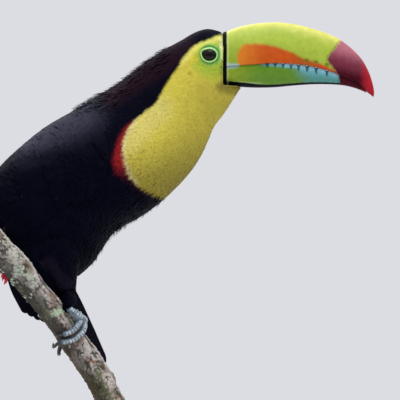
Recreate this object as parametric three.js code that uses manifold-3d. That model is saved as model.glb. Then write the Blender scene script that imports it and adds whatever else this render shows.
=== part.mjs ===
// Keel-billed toucan, life size, gripping a cut length of branch on a plain display stand.
// Millimetres. +X is the way the bird faces, +Y is its left side and +Z is up.
// The origin is the centre of the underside of the stand's base.

import * as THREE from "three";
import Module from "manifold-3d";

const wasm = await Module();
wasm.setup();

// ---------------------------------------------------------------- driving sizes

const GAP = 0.3; // clearance between solids that meet

// Body: sections from the back line to the breast line, named from the bill to the vent.
// back and front are [x, z] in the midplane, half is the half width of the plumage.
const BODY = [
  { at: "bill root", back: [121.5, 383.8], front: [136.8, 335.2], half: 16.6 },
  { at: "forehead", back: [115.2, 386.1], front: [133.2, 331.2], half: 18.2 },
  { at: "crown", back: [105.3, 387.9], front: [126.9, 321.3], half: 20.0 },
  { at: "hind crown", back: [94.5, 384.8], front: [119.7, 310.5], half: 21.2 },
  { at: "nape", back: [81.0, 377.1], front: [111.6, 299.7], half: 22.0 },
  { at: "upper neck", back: [64.8, 368.1], front: [106.2, 287.1], half: 23.2 },
  { at: "mid neck", back: [45.0, 354.6], front: [100.8, 275.4], half: 25.4 },
  { at: "lower neck", back: [25.2, 339.3], front: [91.8, 261.0], half: 29.0 },
  { at: "shoulders", back: [3.6, 325.8], front: [79.2, 246.6], half: 33.5 },
  { at: "mantle", back: [-18.0, 312.8], front: [63.0, 231.3], half: 37.5 },
  { at: "upper breast", back: [-40.5, 299.7], front: [43.2, 217.3], half: 40.0 },
  { at: "mid back", back: [-63.0, 281.7], front: [23.4, 206.1], half: 41.0 },
  { at: "loin", back: [-81.0, 264.6], front: [11.7, 190.8], half: 39.5 },
  { at: "belly", back: [-93.6, 249.3], front: [2.7, 177.3], half: 36.5 },
  { at: "rump", back: [-100.8, 229.5], front: [-9.9, 166.0], half: 31.5 },
  { at: "tail root", back: [-100.8, 211.5], front: [-23.0, 161.0], half: 26.0 },
  { at: "flank end", back: [-96.3, 195.3], front: [-36.0, 159.5], half: 20.5 },
  { at: "vent", back: [-89.1, 180.9], front: [-50.0, 158.5], half: 14.5 },
  { at: "under tail", back: [-81.0, 169.2], front: [-64.0, 157.5], half: 8.0 },
];
const HEAD_END = 4.4; // cuts between head, neck and trunk, in stations
const NECK_END = 7.6;
const CUT = 0.025; // width of a cut, in stations
const BODY_SIDES = 24;
const HEAD_STEPS = 8; // lengths of skin from ring to ring, in the head, the neck and the trunk
const NECK_STEPS = 6;
const TRUNK_STEPS = 17;
const BODY_FULLNESS = 0.92; // below 1 fills the shoulders of a section
const CROWN_TAPER = 0.14; // the crown is narrower than the cheeks
const TAPER_END = 6; // station where that taper has gone

// Eye: a ball in a socket, its opening as wide as the lids leave it.
const EYE_SIDES = 16;
const EYE_STEPS = 8;
const EYE_POLE = 0.07; // the share of a half turn left as a small flat at each pole
const EYE = { x: 107.4, z: 364.3, y: 13.9, radius: 7.5 };

// Bill: sections from the ridge to the cutting edge, and from the cutting edge to the keel.
const UPPER_BILL = [
  { ridge: [119.6, 384.3], edge: [119.3, 353.6], half: 16.3 },
  { ridge: [135.0, 390.0], edge: [134.0, 354.9], half: 16.2 },
  { ridge: [151.0, 393.0], edge: [149.0, 355.9], half: 15.6 },
  { ridge: [169.0, 393.8], edge: [166.0, 356.8], half: 14.7 },
  { ridge: [187.0, 391.5], edge: [183.5, 356.1], half: 13.5 },
  { ridge: [205.0, 386.8], edge: [200.0, 353.9], half: 12.0 },
  { ridge: [221.5, 380.2], edge: [214.0, 350.3], half: 10.3 },
  { ridge: [234.0, 371.6], edge: [225.0, 346.6], half: 8.6 },
  { ridge: [244.0, 361.4], edge: [235.0, 342.0], half: 6.8 },
  { ridge: [250.5, 350.2], edge: [243.0, 336.6], half: 5.0 },
  { ridge: [254.2, 339.4], edge: [249.0, 331.5], half: 3.3 },
  { ridge: [255.7, 331.5], edge: [253.0, 328.3], half: 1.9 },
  { ridge: [255.4, 327.3], edge: [254.8, 326.8], half: 0.6 },
];
const LOWER_BILL = [
  { edge: [119.3, 353.2], keel: [119.2, 339.4], half: 15.3 },
  { edge: [134.0, 354.5], keel: [133.0, 337.5], half: 15.1 },
  { edge: [149.0, 355.5], keel: [148.5, 335.4], half: 14.4 },
  { edge: [166.0, 356.4], keel: [165.5, 335.4], half: 13.4 },
  { edge: [183.5, 355.7], keel: [183.5, 337.0], half: 12.1 },
  { edge: [200.0, 353.5], keel: [200.5, 338.1], half: 10.6 },
  { edge: [214.0, 349.9], keel: [215.5, 338.1], half: 9.0 },
  { edge: [225.0, 346.2], keel: [227.5, 337.2], half: 7.3 },
  { edge: [235.0, 341.6], keel: [237.5, 335.0], half: 5.5 },
  { edge: [243.0, 336.2], keel: [245.0, 332.2], half: 3.5 },
  { edge: [248.2, 331.5], keel: [249.0, 330.2], half: 1.4 },
];
const BILL_SIDE_POINTS = 6; // from the ridge or keel to the cutting edge
const EDGE_TUCK = 0.94; // width at the cutting edge over the widest
const TUCK_FROM = 0.6; // share of the way to the edge at which that narrowing begins
const BILL_FALL = 1.15; // how slowly the side falls away from the ridge
const BILL_SWELL = 0.85; // below 1 fills the side out
const UPPER_STEPS = 18; // lengths from ring to ring
const LOWER_STEPS = 15;
const BILL_ROOM_STEPS = 16;

// Folded wing: upper and lower edges from the wrist to the tip, as [x, z].
// hold is how far from the midplane the two edges stay where no body is under them.
const WING = [
  { upper: [16.2, 299.5], lower: [18.0, 281.0], hold: [20, 26] },
  { upper: [1.8, 312.0], lower: [14.4, 255.6], hold: [14, 26] },
  { upper: [-22.5, 306.0], lower: [-3.6, 234.0], hold: [9, 26] },
  { upper: [-49.5, 288.9], lower: [-27.0, 219.6], hold: [7, 26] },
  { upper: [-73.8, 270.0], lower: [-49.5, 207.9], hold: [6, 26] },
  { upper: [-93.6, 250.2], lower: [-70.2, 197.1], hold: [6, 25] },
  { upper: [-108.9, 230.4], lower: [-90.0, 187.2], hold: [8, 24] },
  { upper: [-119.7, 208.8], lower: [-106.2, 180.9], hold: [11, 22] },
  { upper: [-126.0, 189.9], lower: [-120.6, 178.2], hold: [15, 20] },
];
const WING_PROUD = 4.2; // feathers' depth over the body's side
const WING_ROOT = 4.5; // depth below that, trimmed away by the trunk
const WING_TIP_THICK = 2.2;
const WING_SIDE_POINTS = 6;
const WING_STEPS = 15;
const WING_BLEND = 6; // span over which the wing passes from the body to its own hold
const WING_RIM_SHARE = 0.06; // outermost share of the wing's breadth, level with the rim
const WING_RIM_ROUNDING = 0.4;
const WING_RIM_PROUD = 0.8; // depth at the rim
const WING_RIM_THICK = 1.5;
const WING_END_START = 0.35; // share of the depth at the first and last station
const WING_END_RISE = 1.2; // and its rise per station from there
const WING_OVER_BODY = 2; // a wing held less than this off the body takes the deep root

// Tail: ten broad feathers folded to one blade, turned about its length.
// Its under side is turned towards -Y, so that the right-hand feathers lie at -X.
const TAIL = {
  root: [-75.1, 1, 225],
  tip: [-12.0, 18, 84],
  stations: [
    { at: 0.16, half: 19, thick: 13, turn: 78 },
    { at: 0.32, half: 24, thick: 11, turn: 76 },
    { at: 0.46, half: 26.5, thick: 8, turn: 72 },
    { at: 0.58, half: 28, thick: 4.5, turn: 69 },
    { at: 0.72, half: 29, thick: 2.6, turn: 67 },
    { at: 0.86, half: 29.5, thick: 2.0, turn: 66 },
    { at: 1.0, half: 29, thick: 1.2, turn: 66 },
  ],
  // Where the feathers end, as parts of the length, from the right-hand edge to the left-hand one.
  ends: [0.59, 0.71, 0.83, 0.94, 1.02, 1.06, 1.05],
  stepsFrom: 0.4, // the ends draw apart from here on
};
const TAIL_SIDES = 16;
const TAIL_STEPS = 12;
const TAIL_ROUNDING = 0.8; // below 1 fills the blade's rounded edges

// Branch: a cut length, its axis from the upper end to the lower one.
const BRANCH = {
  axis: [
    [-108.0, -61.6, 221.4],
    [-64.8, -40.0, 172.8],
    [-22.8, -19.0, 119.3],
    [10.8, -2.2, 68.4],
    [26.1, 5.5, 37.8],
  ],
  radius: 12.2,
  grip: [-22.8, -19.0, 119.3], // where the right foot holds it
  sides: 12,
  rings: 18,
};

// Legs: the feathered thigh as balls along a line, [x, y, z, radius].
const THIGH_RIGHT = [
  [-34, -15, 200, 25],
  [-28, -17, 179, 21],
  [-24, -17, 163, 13.5],
  [-20.5, -15.5, 151, 8.5],
  [-17, -13, 141, 5.5],
];
const THIGH_LEFT = [
  [-40, 15, 198, 24],
  [-38, 12, 178, 18],
  [-37, 5, 162, 11.5],
  [-35.5, -3, 152, 7.5],
  [-34, -7, 145, 5.2],
];

// Feet: each toe winds round the branch as [angle, along, stand-off].
// angle 0 faces up the slope's open side, 90 is the far side and -90 the near one, in degrees;
// along runs down the branch from the right foot's grip.
const TOE = 3.3; // radius at a toe's root
const TOE_TIP = 2.5;
const SHANK = [3.2, 3.2, 3.2, 3.3, 3.5, 3.9, 3.6]; // radii from the feathers to the ball of the foot
const CLAW = 1.9;
const CLAW_TIP = 0.35;
const FEET = {
  right: {
    ankle: [[34, -22, 7.5], [24, -12, 4.0], [12, -3, 2.4], [2, 3, 1.8]],
    toes: [
      {
        path: [[2, 3, 1.8], [-28, 8, 0.8], [-62, 10, 0], [-96, 9, 0], [-128, 5, 0]],
        claw: [[-148, 2.5, 0.6], [-166, 1, -0.4]],
      },
      {
        path: [[10, -2, 1.6], [-22, 1, 0.6], [-52, 2.5, 0], [-80, 2, 0], [-104, 0, 0]],
        claw: [[-122, -1.5, 0.4], [-140, -3, -0.6]],
      },
      {
        path: [[14, 2, 1.6], [46, 7, 0.4], [80, 10, 0], [110, 12, 0], [132, 14, 0]],
        claw: [[148, 15, 0.4], [162, 16, -0.6]],
      },
      {
        path: [[18, -3, 1.6], [48, -5, 0.4], [78, -6.5, 0], [102, -8, 0]],
        claw: [[119, -9, 0.4], [135, -10, -0.6]],
      },
    ],
  },
  left: {
    ankle: [[66, -54, 9.5], [62, -48, 5.0], [58, -43, 1.8], [58, -40, 1.4]],
    toes: [
      {
        path: [[58, -40, 1.4], [78, -35, 0.4], [98, -30, 0], [114, -25, 0], [126, -22, 0]],
        claw: [[135, -19, 0.4], [143, -16.5, -0.6]],
      },
      {
        path: [[60, -43, 1.4], [84, -43, 0.4], [106, -41, 0], [124, -39, 0]],
        claw: [[136, -38, 0.4], [146, -37.5, -0.6]],
      },
      {
        path: [[60, -44, 1.4], [62, -51, 0.2], [64, -58, 0], [66, -65, 0]],
        claw: [[67, -70, 0.3], [68, -74, -0.6]],
      },
      {
        path: [[52, -41, 1.4], [45, -45, 0.2], [40, -50, 0], [38, -54, 0]],
        claw: [[38, -58, 0.3], [38, -61.5, -0.6]],
      },
    ],
  },
};
const TOE_STEPS = 7;
const TOE_SIDES = 7;
const SHANK_SIDES = 8;
const CLAW_STEPS = 4;
const CLAW_SIDES = 6;
const CLAW_START = 0.1; // a claw begins this far past the gap that parts it from its toe
const CLAW_SINK = 0.5; // and lies this much nearer the bark than the toe's middle
const TOE_LIFT = 0.35; // a toe rides this far off the mean bark, clear of its bumps
const THIGH_STEPS = 10;
const THIGH_SIDES = 16;

// Stand: an oval plinth and one rod into the branch's lower end.
const BASE = { halfLength: 135, halfDepth: 82, height: 16, edge: 2.5 };
const BASE_SIDES = 48;
const ROD = { x: 24.5, y: 4.7, radius: 4.5, seat: 9, top: 55 };
const ROD_SIDES = 24;

// ---------------------------------------------------------------- curves and solids

/** Catmull-Rom blend of rows of numbers at the place s, counted in rows. */
function blend(rows, s) {
  const last = rows.length - 1;
  const i = THREE.MathUtils.clamp(Math.floor(s), 0, last - 1);
  const f = s - i;
  const [a, b, c, d] = [i - 1, i, i + 1, i + 2].map((k) => rows[THREE.MathUtils.clamp(k, 0, last)]);
  return b.map((value, j) => {
    const slope = c[j] - a[j];
    const square = 2 * a[j] - 5 * value + 4 * c[j] - d[j];
    const cube = 3 * value - a[j] - 3 * c[j] + d[j];
    return value + 0.5 * (slope * f + square * f * f + cube * f * f * f);
  });
}

/** Evenly spaced values from start to end, both included. */
function steps(start, end, count) {
  return Array.from({ length: count + 1 }, (_, i) => start + ((end - start) * i) / count);
}

/** One closed body through rings of equal count, each end closed by a fan. */
function ringSolid(rings) {
  const sides = rings[0].length;
  const points = rings.flat();
  const faces = [];
  for (let r = 0; r + 1 < rings.length; r += 1) {
    for (let k = 0; k < sides; k += 1) {
      const a = r * sides + k;
      const b = r * sides + ((k + 1) % sides);
      faces.push(a, b, a + sides, b, b + sides, a + sides);
    }
  }
  for (const [ring, offset, flip] of [
    [rings[0], 0, true],
    [rings.at(-1), (rings.length - 1) * sides, false],
  ]) {
    const middle = points.length;
    const centre = new THREE.Vector3();
    ring.forEach((point) => centre.add(point));
    points.push(centre.divideScalar(sides));
    for (let k = 0; k < sides; k += 1) {
      const a = offset + k;
      const b = offset + ((k + 1) % sides);
      faces.push(...(flip ? [b, a, middle] : [a, b, middle]));
    }
  }
  const solid = new THREE.BufferGeometry();
  solid.setAttribute("position", new THREE.Float32BufferAttribute(points.flatMap((p) => p.toArray()), 3));
  solid.setIndex(volume(points, faces) < 0 ? faces.reverse() : faces);
  return solid;
}

/** Signed volume of a closed set of faces. */
function volume(points, faces) {
  let sum = 0;
  for (let i = 0; i < faces.length; i += 3) {
    const [a, b, c] = [points[faces[i]], points[faces[i + 1]], points[faces[i + 2]]];
    sum += a.dot(new THREE.Vector3().crossVectors(b, c)) / 6;
  }
  return sum;
}

/** A closed geometry with shared vertices as a solid that can be cut and joined. */
function asSolid(geometry) {
  return new wasm.Manifold(
    new wasm.Mesh({
      numProp: 3,
      vertProperties: new Float32Array(geometry.attributes.position.array),
      triVerts: new Uint32Array(geometry.index.array),
    }),
  );
}

/** The largest single body of a solid, as a geometry. */
function asGeometry(solid) {
  const body = solid.decompose().reduce((best, part) => (part.volume() > best.volume() ? part : best));
  const mesh = body.getMesh();
  const geometry = new THREE.BufferGeometry();
  geometry.setAttribute("position", new THREE.Float32BufferAttribute(mesh.vertProperties, 3));
  geometry.setIndex(new THREE.Uint32BufferAttribute(mesh.triVerts, 1));
  return geometry;
}

/** A round tube through centres with their own radii, as one closed body. */
function tube(centres, radii, sides) {
  const rings = centres.map((centre, i) => {
    const before = centres[Math.max(i - 1, 0)];
    const after = centres[Math.min(i + 1, centres.length - 1)];
    const way = after.clone().sub(before).normalize();
    const across = new THREE.Vector3(0, 1, 0.2).cross(way).normalize();
    const up = way.clone().cross(across);
    return Array.from({ length: sides }, (_, k) => {
      const turn = (2 * Math.PI * k) / sides;
      const out = across.clone().multiplyScalar(Math.cos(turn)).addScaledVector(up, Math.sin(turn));
      return centre.clone().addScaledVector(out, radii[i]);
    });
  });
  return ringSolid(rings);
}

// ---------------------------------------------------------------- body

const bodyRows = BODY.map(({ back, front, half }) => [...back, ...front, half]);

/** The section at a station: its back and front points and its half width, grown by a margin. */
function section(station, grow = 0) {
  const [bx, bz, fx, fz, half] = blend(bodyRows, station);
  const back = new THREE.Vector3(bx, 0, bz);
  const front = new THREE.Vector3(fx, 0, fz);
  const down = front.clone().sub(back).normalize();
  return {
    back: back.addScaledVector(down, -grow),
    front: front.addScaledVector(down, grow),
    half: half + grow,
  };
}

/** Width at a place across a section over its greatest width; fall is 1 at the back, -1 in front. */
function widthShare(station, fall) {
  const taper = CROWN_TAPER * Math.max(0, 1 - station / TAPER_END);
  const round = Math.sqrt(Math.max(0, 1 - fall * fall)) ** BODY_FULLNESS;
  return round * (1 - taper * fall);
}

/** The ring of plumage at a station. */
function bodyRing(station, grow = 0) {
  const { back, front, half } = section(station, grow);
  return Array.from({ length: BODY_SIDES }, (_, k) => {
    const turn = (2 * Math.PI * k) / BODY_SIDES;
    const fall = Math.cos(turn);
    const point = back.clone().lerp(front, (1 - fall) / 2);
    point.y = Math.sign(Math.sin(turn)) * half * widthShare(station, fall);
    return point;
  });
}

/** The length of body between two stations. */
function bodyLength(start, end, rings, grow = 0) {
  return ringSolid(steps(start, end, rings).map((station) => bodyRing(station, grow)));
}

const HALVINGS = 30; // halvings that find a point's station

/** Half width of the trunk under a point of the side view, 0 outside its outline. */
function bodyHalfAt(x, z) {
  let low = 0;
  let high = BODY.length - 1;
  const side = (station) => {
    const { back, front } = section(station);
    return (front.x - back.x) * (z - back.z) - (front.z - back.z) * (x - back.x);
  };
  const ahead = Math.sign(side(low));
  for (let i = 0; i < HALVINGS; i += 1) {
    const middle = (low + high) / 2;
    if (Math.sign(side(middle)) === ahead) {
      low = middle;
    } else {
      high = middle;
    }
  }
  const { back, front, half } = section(low);
  const length = front.distanceTo(back);
  const share = ((x - back.x) * (front.x - back.x) + (z - back.z) * (front.z - back.z)) / length ** 2;
  return half * widthShare(low, THREE.MathUtils.clamp(1 - 2 * share, -1, 1));
}

// ---------------------------------------------------------------- bill

/** Sections of one mandible: a rounded outer side closed by a flat cutting face. */
function mandible(rows, count, grow = 0) {
  const rings = steps(0, rows.length - 1, count).map((s) => {
    const [ox, oz, ex, ez, half] = blend(rows, s);
    const outer = new THREE.Vector3(ox, 0, oz);
    const edge = new THREE.Vector3(ex, 0, ez);
    const away = outer.clone().sub(edge).normalize();
    outer.addScaledVector(away, grow);
    edge.addScaledVector(away, -grow);
    const side = steps(0, 1, BILL_SIDE_POINTS).map((share) => {
      const turn = (share * Math.PI) / 2;
      const point = outer.clone().lerp(edge, 1 - Math.cos(turn) ** BILL_FALL);
      const tuck = 1 - ((1 - EDGE_TUCK) * Math.max(0, share - TUCK_FROM)) / (1 - TUCK_FROM);
      point.y = (half + grow) * Math.sin(turn) ** BILL_SWELL * tuck;
      return point;
    });
    const other = side.slice(1).reverse().map((p) => new THREE.Vector3(p.x, -p.y, p.z));
    return [...side, ...other];
  });
  return ringSolid(rings);
}

const upperRows = UPPER_BILL.map(({ ridge, edge, half }) => [...ridge, ...edge, half]);
const lowerRows = LOWER_BILL.map(({ edge, keel, half }) => [...keel, ...edge, half]);

/** What the head must leave free for the bill: both mandibles grown by the gap. */
function billRoom() {
  const back = 2 * GAP;
  const rooms = [upperRows, lowerRows].map((rows) => {
    const behind = rows[0].map((value, i) => (i === 0 || i === 2 ? value - back : value));
    return asSolid(mandible([behind, ...rows.slice(1)], BILL_ROOM_STEPS, GAP));
  });
  return rooms[0].add(rooms[1]);
}

// ---------------------------------------------------------------- eyes

/** An eyeball on one side, grown by a margin. */
function eyeball(side, grow = 0) {
  const rings = steps(EYE_POLE, 1 - EYE_POLE, EYE_STEPS).map((share) => {
    const tilt = Math.PI * share;
    const radius = (EYE.radius + grow) * Math.sin(tilt);
    const y = side * (EYE.y - (EYE.radius + grow) * Math.cos(tilt));
    return Array.from({ length: EYE_SIDES }, (_, k) => {
      const turn = (2 * Math.PI * k) / EYE_SIDES;
      return new THREE.Vector3(EYE.x + radius * Math.cos(turn), y, EYE.z + radius * Math.sin(turn));
    });
  });
  return ringSolid(rings);
}

// ---------------------------------------------------------------- wings and tail

const wingRows = WING.map(({ upper, lower, hold }) => [...upper, ...lower, ...hold]);

/** Larger of two values, with the corner between them rounded over a span. */
function softMax(a, b, span) {
  const mix = THREE.MathUtils.clamp(0.5 + (0.5 * (a - b)) / span, 0, 1);
  return b + (a - b) * mix + span * mix * (1 - mix);
}

/** A folded wing laid on the body's side, before the trunk is cut from it. */
function wing(side) {
  const last = WING.length - 1;
  const rings = steps(0, last, WING_STEPS).map((s) => {
    const [ux, uz, lx, lz, holdUpper, holdLower] = blend(wingRows, s);
    const outer = [];
    const inner = [];
    for (const share of steps(0, 1, WING_SIDE_POINTS)) {
      const x = THREE.MathUtils.lerp(ux, lx, share);
      const z = THREE.MathUtils.lerp(uz, lz, share);
      const hold = THREE.MathUtils.lerp(holdUpper, holdLower, Math.sin((share * Math.PI) / 2));
      const under = softMax(bodyHalfAt(x, z), hold, WING_BLEND);
      const across = THREE.MathUtils.clamp(share, WING_RIM_SHARE, 1 - WING_RIM_SHARE);
      const edge = Math.sin(Math.PI * across) ** WING_RIM_ROUNDING;
      const end = THREE.MathUtils.clamp(Math.min(s, last - s) * WING_END_RISE + WING_END_START, 0, 1);
      const proud = THREE.MathUtils.lerp(WING_RIM_PROUD, WING_PROUD, edge * end);
      const root = bodyHalfAt(x, z) > hold - WING_OVER_BODY ? WING_ROOT : WING_TIP_THICK - 1;
      outer.push(new THREE.Vector3(x, side * (under + proud), z));
      inner.push(new THREE.Vector3(x, side * (under + Math.min(0, proud - WING_RIM_THICK) - root), z));
    }
    return [...outer, ...inner.reverse()];
  });
  return ringSolid(rings);
}

/** Middle of the tail at a part of its length. */
function tailMiddle(share) {
  return new THREE.Vector3(...TAIL.root).lerp(new THREE.Vector3(...TAIL.tip), share);
}

const tailWay = tailMiddle(1).sub(tailMiddle(0)).normalize();
const tailEnds = TAIL.ends.map((end) => [end]);
const tailRows = TAIL.stations.map(({ at, half, thick, turn }) => [at, half, thick, turn]);

/** The tail blade, its near corner ending sooner than the far one, grown by a margin. */
function tail(grow = 0) {
  const rings = steps(0, tailRows.length - 1, TAIL_STEPS).map((s) => {
    const [at, half, thick, turn] = blend(tailRows, s);
    const angle = THREE.MathUtils.degToRad(turn);
    const near = new THREE.Vector3(0, -1, 0);
    near.addScaledVector(tailWay, -near.dot(tailWay)).normalize();
    const left = tailWay.clone().cross(near).normalize();
    left.multiplyScalar(-Math.sign(left.x));
    const across = near.multiplyScalar(Math.cos(angle)).addScaledVector(left, Math.sin(angle));
    const through = tailWay.clone().cross(across).normalize();
    const reach = THREE.MathUtils.smoothstep(at, TAIL.stepsFrom, 1);
    return Array.from({ length: TAIL_SIDES }, (_, k) => {
      const around = (2 * Math.PI * k) / TAIL_SIDES;
      const wide = Math.sign(Math.cos(around)) * Math.abs(Math.cos(around)) ** TAIL_ROUNDING;
      const [end] = blend(tailEnds, ((1 - wide) / 2) * (tailEnds.length - 1));
      const point = tailMiddle(at * THREE.MathUtils.lerp(1, end, reach));
      point.addScaledVector(across, (half + grow) * wide);
      return point.addScaledVector(through, (thick + grow) * Math.sin(around));
    });
  });
  return ringSolid(rings);
}

// ---------------------------------------------------------------- branch

const axis = new THREE.CatmullRomCurve3(BRANCH.axis.map((point) => new THREE.Vector3(...point)));
const axisLength = axis.getLength();

const GRIP_SEARCH = 800; // places tried along the axis

/** Share of the branch's axis at which the right foot grips. */
const gripAt = steps(0, 1, GRIP_SEARCH).reduce((best, share) => {
  const grip = new THREE.Vector3(...BRANCH.grip);
  return axis.getPointAt(share).distanceTo(grip) < axis.getPointAt(best).distanceTo(grip) ? share : best;
}, 0);

/** A point by its angle round the branch, its place along it and its distance from the axis. */
function roundBranch(degrees, place, radius) {
  const share = THREE.MathUtils.clamp(gripAt + place / axisLength, 0, 1);
  const centre = axis.getPointAt(share);
  const way = axis.getTangentAt(share);
  const open = new THREE.Vector3(-way.z, 0, way.x).normalize();
  const far = open.clone().cross(way);
  const angle = THREE.MathUtils.degToRad(degrees);
  return centre.addScaledVector(open, radius * Math.cos(angle)).addScaledVector(far, radius * Math.sin(angle));
}

const BARK = {
  waves: [
    { size: 0.03, turns: 2, twist: 0.06 },
    { size: 0.025, turns: 3, twist: -0.11 },
  ],
  inset: 0.45, // keeps the swellings inside the branch's stated radius
};

/** Rough bark: the radius swells and dips gently with place and angle. */
function barkRadius(place, degrees) {
  const angle = THREE.MathUtils.degToRad(degrees);
  const waves = BARK.waves.reduce(
    (sum, { size, turns, twist }) => sum + size * Math.sin(turns * angle + twist * place),
    0,
  );
  return BRANCH.radius * (1 + waves) - BARK.inset;
}

/** The cut length of branch, grown by a margin. */
function branch(grow = 0) {
  const top = -gripAt * axisLength;
  const rings = steps(top, top + axisLength, BRANCH.rings).map((place) =>
    Array.from({ length: BRANCH.sides }, (_, k) => {
      const degrees = (360 * k) / BRANCH.sides;
      return roundBranch(degrees, place, barkRadius(place, degrees) + grow);
    }),
  );
  return ringSolid(rings);
}

// ---------------------------------------------------------------- legs and feet

/** A feathered thigh as one tapering body. */
function thigh(balls) {
  const rows = steps(0, balls.length - 1, THIGH_STEPS).map((s) => blend(balls, s));
  const centres = rows.map((row) => new THREE.Vector3(row[0], row[1], row[2]));
  return tube(centres, rows.map((row) => row[3]), THIGH_SIDES);
}

/** Points wound round the branch, a toe's radius off its bark, through [angle, along, stand-off]. */
function wound(path, thick, count) {
  const reach = BRANCH.radius + GAP + TOE_LIFT;
  return steps(0, path.length - 1, count).map((s) => {
    const [degrees, place, off] = blend(path, s);
    return roundBranch(degrees, place, reach + thick + off);
  });
}

/** One foot: the shank and its four toes joined, without the claws, grown by a margin. */
function foot({ ankle, toes }, grow = 0) {
  const shank = tube(wound(ankle, TOE, SHANK.length - 1), SHANK.map((radius) => radius + grow), SHANK_SIDES);
  return toes
    .map(({ path }) => {
      const centres = wound(path, TOE, TOE_STEPS);
      const radii = centres.map((_, i) => TOE + ((TOE_TIP - TOE) * i) / TOE_STEPS + grow);
      return asSolid(tube(centres, radii, TOE_SIDES));
    })
    .reduce((whole, toe) => whole.add(toe), asSolid(shank));
}

/** A curved claw that carries on from the end of a toe. */
function claw({ path, claw: hook }) {
  const row = [path.at(-1), ...hook];
  const centres = wound(row, TOE - CLAW_SINK, CLAW_STEPS);
  const start = centres[1].clone().sub(centres[0]).normalize().multiplyScalar(GAP + CLAW_START);
  centres[0].add(start);
  const radii = centres.map((_, i) => CLAW + ((CLAW_TIP - CLAW) * i) / CLAW_STEPS);
  return tube(centres, radii, CLAW_SIDES);
}

// ---------------------------------------------------------------- stand

/** The oval plinth with a seat bored for the rod. */
function plinth() {
  const profile = [
    [1, 0],
    [1, BASE.height - BASE.edge],
    [1 - BASE.edge / BASE.halfLength, BASE.height],
  ];
  const rings = profile.map(([share, z]) =>
    Array.from({ length: BASE_SIDES }, (_, k) => {
      const turn = (2 * Math.PI * k) / BASE_SIDES;
      return new THREE.Vector3(
        share * BASE.halfLength * Math.cos(turn),
        (BASE.halfDepth - (1 - share) * BASE.halfLength) * Math.sin(turn),
        z,
      );
    }),
  );
  return asSolid(ringSolid(rings)).subtract(rodSolid(BASE.height - ROD.seat - GAP, ROD.top, GAP));
}

/** An upright length of the rod, grown by a margin. */
function rodSolid(bottom, top, grow = 0) {
  const rings = [bottom, top].map((z) =>
    Array.from({ length: ROD_SIDES }, (_, k) => {
      const turn = (2 * Math.PI * k) / ROD_SIDES;
      const radius = ROD.radius + grow;
      return new THREE.Vector3(ROD.x + radius * Math.cos(turn), ROD.y + radius * Math.sin(turn), z);
    }),
  );
  return asSolid(ringSolid(rings));
}

// ---------------------------------------------------------------- the object

const group = new THREE.Group();

/** Adds one named mesh with its finish. */
function add(name, geometry, color, roughness, metalness = 0) {
  const mesh = new THREE.Mesh(geometry, new THREE.MeshStandardMaterial({ color, roughness, metalness }));
  mesh.name = name;
  group.add(mesh);
}

const PLUMAGE_BLACK = 0x17151c;
const PLUMAGE_YELLOW = 0xe6dc4c;
const HORN_GREEN = 0xa4cb3c;
const HORN_BLUE = 0x9bc7dc;
const SKIN_BLUE = 0x8fb0c4;
const CLAW_GREY = 0x3a3b40;
const EYE_BROWN = 0x1d130d;
const BARK_GREY = 0x8d8478;
const OAK = 0x9a744c;
const STEEL = 0xb9bcc0;

const eyeRooms = asSolid(eyeball(-1, GAP)).add(asSolid(eyeball(1, GAP)));
const head = asSolid(bodyLength(0, HEAD_END, HEAD_STEPS)).subtract(billRoom()).subtract(eyeRooms);
add("head", asGeometry(head), PLUMAGE_YELLOW, 0.8);
add("neck", bodyLength(HEAD_END + CUT, NECK_END, NECK_STEPS), PLUMAGE_YELLOW, 0.85);

const TRUNK_START = NECK_END + CUT;
const BODY_END = BODY.length - 1;
const TRUNK_STEP = (BODY_END - TRUNK_START) / TRUNK_STEPS;
const trunk = asSolid(bodyLength(TRUNK_START, BODY_END, TRUNK_STEPS));
const trunkRoom = asSolid(bodyLength(TRUNK_START - TRUNK_STEP, BODY_END, TRUNK_STEPS + 1, GAP));
const branchRoom = asSolid(branch(GAP));
const tailBlade = asSolid(tail()).subtract(trunkRoom);
const tailRoom = asSolid(tail(GAP));
add("trunk", asGeometry(trunk), PLUMAGE_BLACK, 0.8);
add("tail", asGeometry(tailBlade), PLUMAGE_BLACK, 0.7);

for (const [name, side] of [["wing_right", -1], ["wing_left", 1]]) {
  add(name, asGeometry(asSolid(wing(side)).subtract(trunkRoom)), PLUMAGE_BLACK, 0.7);
}

for (const [name, side] of [["eye_right", -1], ["eye_left", 1]]) {
  add(name, eyeball(side), EYE_BROWN, 0.1);
}

add("bill_upper", mandible(upperRows, UPPER_STEPS), HORN_GREEN, 0.4);
add("bill_lower", mandible(lowerRows, LOWER_STEPS), HORN_BLUE, 0.4);

const feetRoom = foot(FEET.right, GAP).add(foot(FEET.left, GAP));
const legRoom = trunkRoom.add(branchRoom).add(tailRoom).add(feetRoom);
for (const [side, balls] of [["right", THIGH_RIGHT], ["left", THIGH_LEFT]]) {
  add(`thigh_${side}`, asGeometry(asSolid(thigh(balls)).subtract(legRoom)), PLUMAGE_BLACK, 0.85);
  const footRoom = branchRoom.add(trunkRoom);
  add(`foot_${side}`, asGeometry(foot(FEET[side]).subtract(footRoom)), SKIN_BLUE, 0.6);
  FEET[side].toes.forEach((toe, i) => {
    add(`claw_${side}_${i + 1}`, asGeometry(asSolid(claw(toe)).subtract(branchRoom)), CLAW_GREY, 0.4);
  });
}

const rodRoom = rodSolid(BASE.height, ROD.top + GAP, GAP);
add("perch_branch", asGeometry(asSolid(branch()).subtract(rodRoom)), BARK_GREY, 0.95);
add("stand_base", asGeometry(plinth()), OAK, 0.5);
add("stand_rod", asGeometry(rodSolid(BASE.height - ROD.seat, ROD.top)), STEEL, 0.3, 1);

export default group;
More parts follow.
